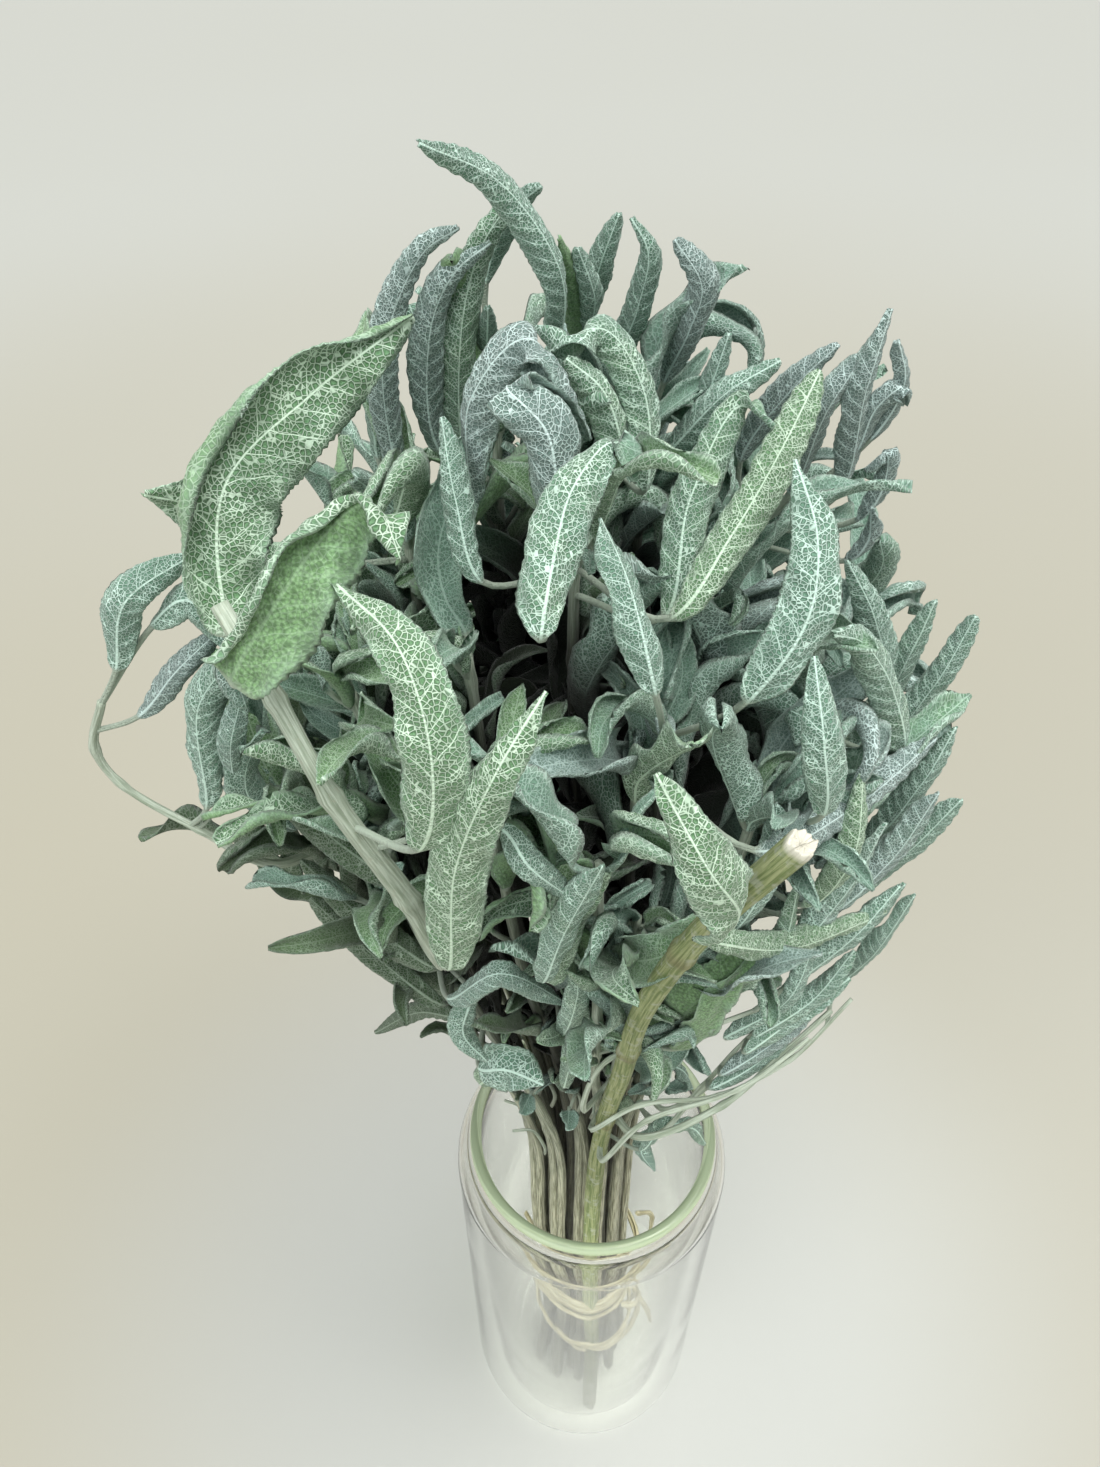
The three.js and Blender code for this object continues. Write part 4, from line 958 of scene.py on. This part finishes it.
for m, (i, (points, reach, _)) in enumerate(shoots):
    for n, root, places, width, out, young in habit_leaves(points, reach, m):
        if in_gap(places[len(places) // 2]):
            continue
        right = places[0][0] + 0.5 * places[0][1] > 0
        kind = (RIGHT_KINDS if right else LEFT_KINDS)[n * 3 % 7]
        if places[0][2] < 285 and places[0][0] < -16:
            kind = "dark"
        roll, twist = 60 + 150 * vary(n + 4), 190 * (vary(n + 6) - 0.5)
        grade = "small" if young else "common"
        sprigs[i].append(leaf_part(root, places, kind, width, roll, twist, out, n, grade))

for i, parts in enumerate(sprigs):
    name = f"sage_sprig_{i + 1:02d}"
    mesh = join_parts(name, parts, [leaf_material, stem_material])
    add_piece(name, mesh, "sage", f"sprig_{i + 1:02d}")

# ---------------------------------------------------------------------------------------------
# Raffia tie: dry straw-coloured strips of palm leaf wound round the stems inside the jar, crossed
# in a flat knot, with slack loops and tails that hang in front and stand up at the side.
# ---------------------------------------------------------------------------------------------
TIE_HEIGHT = 90
LOOSENESS = 2.0
STALK_ANGLE = -1.46
BULGE = 3.4
BULGE_SPREAD = 0.55


def ribbon_part(places, width, seed):
    """A strip: a flat oval section carried along the curve, twisting slowly, creased along its length."""
    points, reach, _ = smooth_curve(places)
    rows, ring = max(30, int(reach[-1] / 0.9)), 18
    distance = np.linspace(0, reach[-1], rows)
    place, along = read_curve(points, reach, distance)
    side, up = across_frame(along, np.array([0.02, 0.05, 1.0]))
    distance = distance[:, None]
    turn = 0.5 * np.sin(distance / 14 + seed) + 0.25 * np.sin(distance / 5 + 2 * seed)
    side, up = np.cos(turn) * side + np.sin(turn) * up, np.cos(turn) * up - np.sin(turn) * side
    angle = np.linspace(0, 2 * np.pi, ring, endpoint=False)[None]
    end = np.clip(np.minimum(distance, reach[-1] - distance) / 2 + 0.35, 0, 1)
    wide = width / 2 * (1 + 0.18 * np.sin(distance / 8 + seed)) * end * np.cos(angle)
    thick = 0.42 * np.sin(angle) + 0.22 * np.cos(3 * angle + seed) + 0.12 * np.sin(distance / 1.7 + seed)
    shell = place[:, None] + wide[..., None] * side[:, None] + thick[..., None] * up[:, None]
    return new_part(shell, (distance, wide, seed))


def turn_round(height, rise, start, end, gap):
    """Places round the bundle from one angle to another, in degrees, that swell over the cut stalk."""
    angles = np.radians(np.linspace(start, end, 2 + int(abs(end - start) / 14)))
    x, y, half_x, half_y = bundle_at(height)
    off_stalk = np.angle(np.exp(1j * (angles - STALK_ANGLE)))
    away = LOOSENESS + gap + BULGE * np.exp(-(off_stalk / BULGE_SPREAD) ** 2)
    heights = height + rise * np.linspace(0, 1, len(angles)) + 1.2 * np.sin(2 * angles)
    return np.stack([x + (half_x + away) * np.cos(angles), y + (half_y + away) * np.sin(angles), heights], 1)


def raffia_finish():
    """Dry raffia: pale straw with fine darker fibres along the strip."""
    material, tree = new_material("raffia")
    blade = read_point(tree, "blade")
    fibres = add_group(tree, fibre_streaks, Blade=blade, Along=0.12, Across=3.5, Scale=1.2)["Fibres"]
    colour = blend(tree, soft_step(tree, fibres, 0.3, 0.7), (0.27, 0.24, 0.12), (0.64, 0.61, 0.42))
    bump = add_node(tree, "ShaderNodeBump", Height=fibres, Strength=0.6, Distance=0.0003)
    surface = add_node(
        tree, "ShaderNodeBsdfPrincipled", Base_Color=colour, Roughness=0.55, Normal=bump.outputs[0])
    add_node(tree, "ShaderNodeOutputMaterial", Surface=surface.outputs[0])
    return material


strips = [
    (turn_round(TIE_HEIGHT, 4, -60, 330, 1.0), 3.2),
    (turn_round(TIE_HEIGHT + 3, -3, -75, 300, 1.6), 2.6),
    (turn_round(TIE_HEIGHT - 3, 5, 200, 345, 2.4), 2.2),
    ([[14, -16, 92], [13, -22, 80], [6, -26, 68], [-6, -25, 70], [-15, -19, 82], [-17, -12, 92]], 2.4),
    ([[16, -12, 92], [17, -18, 76], [10, -23, 61], [-1, -25, 60], [-10, -22, 72]], 2.0),
    ([[15, -14, 90], [17, -15, 108], [19, -12, 126], [18, -13, 140], [13, -16, 148]], 1.8),
    ([[-16, -10, 92], [-19, -10, 110], [-18, -12, 126], [-20, -11, 137]], 1.6),
    ([[15, -16, 91], [20, -19, 80], [22, -19, 68]], 1.6),
    ([[11, -21, 90], [15, -21, 92], [17, -16, 88], [13, -19, 86]], 3.0),
]
tie_parts = [ribbon_part(places, width, n) for n, (places, width) in enumerate(strips)]
add_piece("raffia_tie", join_parts("raffia_tie", tie_parts, [raffia_finish()]), "raffia", "raffia_tie")

# ---------------------------------------------------------------------------------------------
# Cut stalk: one thick woody stalk, cut square with a knife above the leaves. Its olive bark is
# ridged and ringed at the old leaf nodes, and the pale pith stands ragged at the cut.
# ---------------------------------------------------------------------------------------------
STALK_RADIUS = 2.35
STALK_NODES = (206, 262, 318)
STALK_SLOT = (0.14, -1.32)
STALK_TOP = [[2, -16, 208], [4, -24, 244], [6, -34, 288], [13, -44, 328], [24, -48, 354]]


def stalk_part(places):
    """
    The stalk: a square section with rounded corners and grooved faces carried along the curve, with
    a swollen ring at each node. Its last rows turn in over the cut, ragged by a sum of sine waves.
    """
    points, reach, _ = smooth_curve(places)
    rows, cut_size = 260, np.array([0.97, 0.9, 0.72, 0.5, 0.3, 0.1])
    cut_height = np.array([0.5, 0.9, 0.5, 0.1, 0.4, -0.2])
    whole = np.linspace(0, reach[-1], rows)
    place, along = read_curve(points, reach, whole)
    at = np.minimum(np.arange(rows + len(cut_size)), rows - 1)
    place, along, distance = place[at], along[at], whole[at][:, None]
    side, up = across_frame(along, np.array([1.0, 0.3, 0.0]))
    angle = np.linspace(0, 2 * np.pi, 48, endpoint=False)[None]
    swell = np.exp(-((place[:, 2:] - np.array(STALK_NODES)[None]) / 1.8) ** 2).sum(1, keepdims=True)
    size = STALK_RADIUS * (1 + 0.07 * np.cos(4 * angle) + 0.02 * np.cos(17 * angle) + 0.22 * swell)
    size = size * (1 + 0.03 * np.sin(distance / 11))
    inward = np.concatenate([np.ones(rows), cut_size])[:, None]
    ragged = 0.5 * np.sin(5 * angle) + 0.4 * np.sin(11 * angle + 1) + 0.3 * np.sin(3 * angle + 2)
    height = np.concatenate([np.zeros(rows), cut_height])[:, None] * (1 + 0.8 * ragged)
    shell = place[:, None] + (size * inward)[..., None] * (
        np.cos(angle)[..., None] * side[:, None] + np.sin(angle)[..., None] * up[:, None])
    shell = shell + height[..., None] * along[:, None]
    cut = (np.arange(len(at)) >= rows - 1)[:, None]
    return new_part(shell, (distance, angle * STALK_RADIUS, 3), finish=(cut, swell, 0), shade_share=0.8)


def stalk_finish():
    """Old sage bark: olive green streaked with grey, brown at the nodes, white pith at the cut."""
    material, tree = new_material("sage_bark")
    blade = read_point(tree, "blade")
    parts = add_node(tree, "ShaderNodeSeparateXYZ", Vector=read_point(tree, "finish")).outputs
    streaks = add_group(tree, fibre_streaks, Blade=blade, Along=0.06, Across=1.4, Scale=1.8)["Fibres"]
    scurf = add_node(tree, "ShaderNodeTexNoise", Vector=blade, Scale=0.5, Detail=4.0).outputs[0]
    colour = blend(tree, soft_step(tree, streaks, 0.35, 0.65), (0.19, 0.25, 0.09), (0.43, 0.47, 0.24))
    colour = blend(tree, soft_step(tree, scurf, 0.5, 0.7, 0, 0.7), colour, (0.50, 0.53, 0.42))
    colour = blend(tree, maths(tree, "MULTIPLY", parts["Y"], 0.6), colour, (0.20, 0.17, 0.09))
    # Painted shade: inside the sheaf the bark darkens towards near black.
    colour = add_group(tree, painted_shade_blend, Colour=colour, Old_Colour=(0.02, 0.022, 0.012, 1))["Colour"]
    colour = blend(tree, parts["X"], colour, (0.80, 0.78, 0.66))
    height = maths(tree, "ADD", streaks, maths(tree, "MULTIPLY", scurf, 0.6))
    bump = add_node(tree, "ShaderNodeBump", Height=height, Strength=0.8, Distance=0.0007)
    surface = add_node(
        tree, "ShaderNodeBsdfPrincipled", Base_Color=colour, Roughness=0.7, Normal=bump.outputs[0])
    add_node(tree, "ShaderNodeOutputMaterial", Surface=surface.outputs[0])
    return material


stalk_route = [stem_place(STALK_SLOT, height) for height in (7, 40, 62, 115, 165)] + STALK_TOP
stalk_mesh = join_parts("cut_stalk", [stalk_part(stalk_route)], [stalk_finish()])
add_piece("cut_stalk", stalk_mesh, "stalk", "cut_stalk")
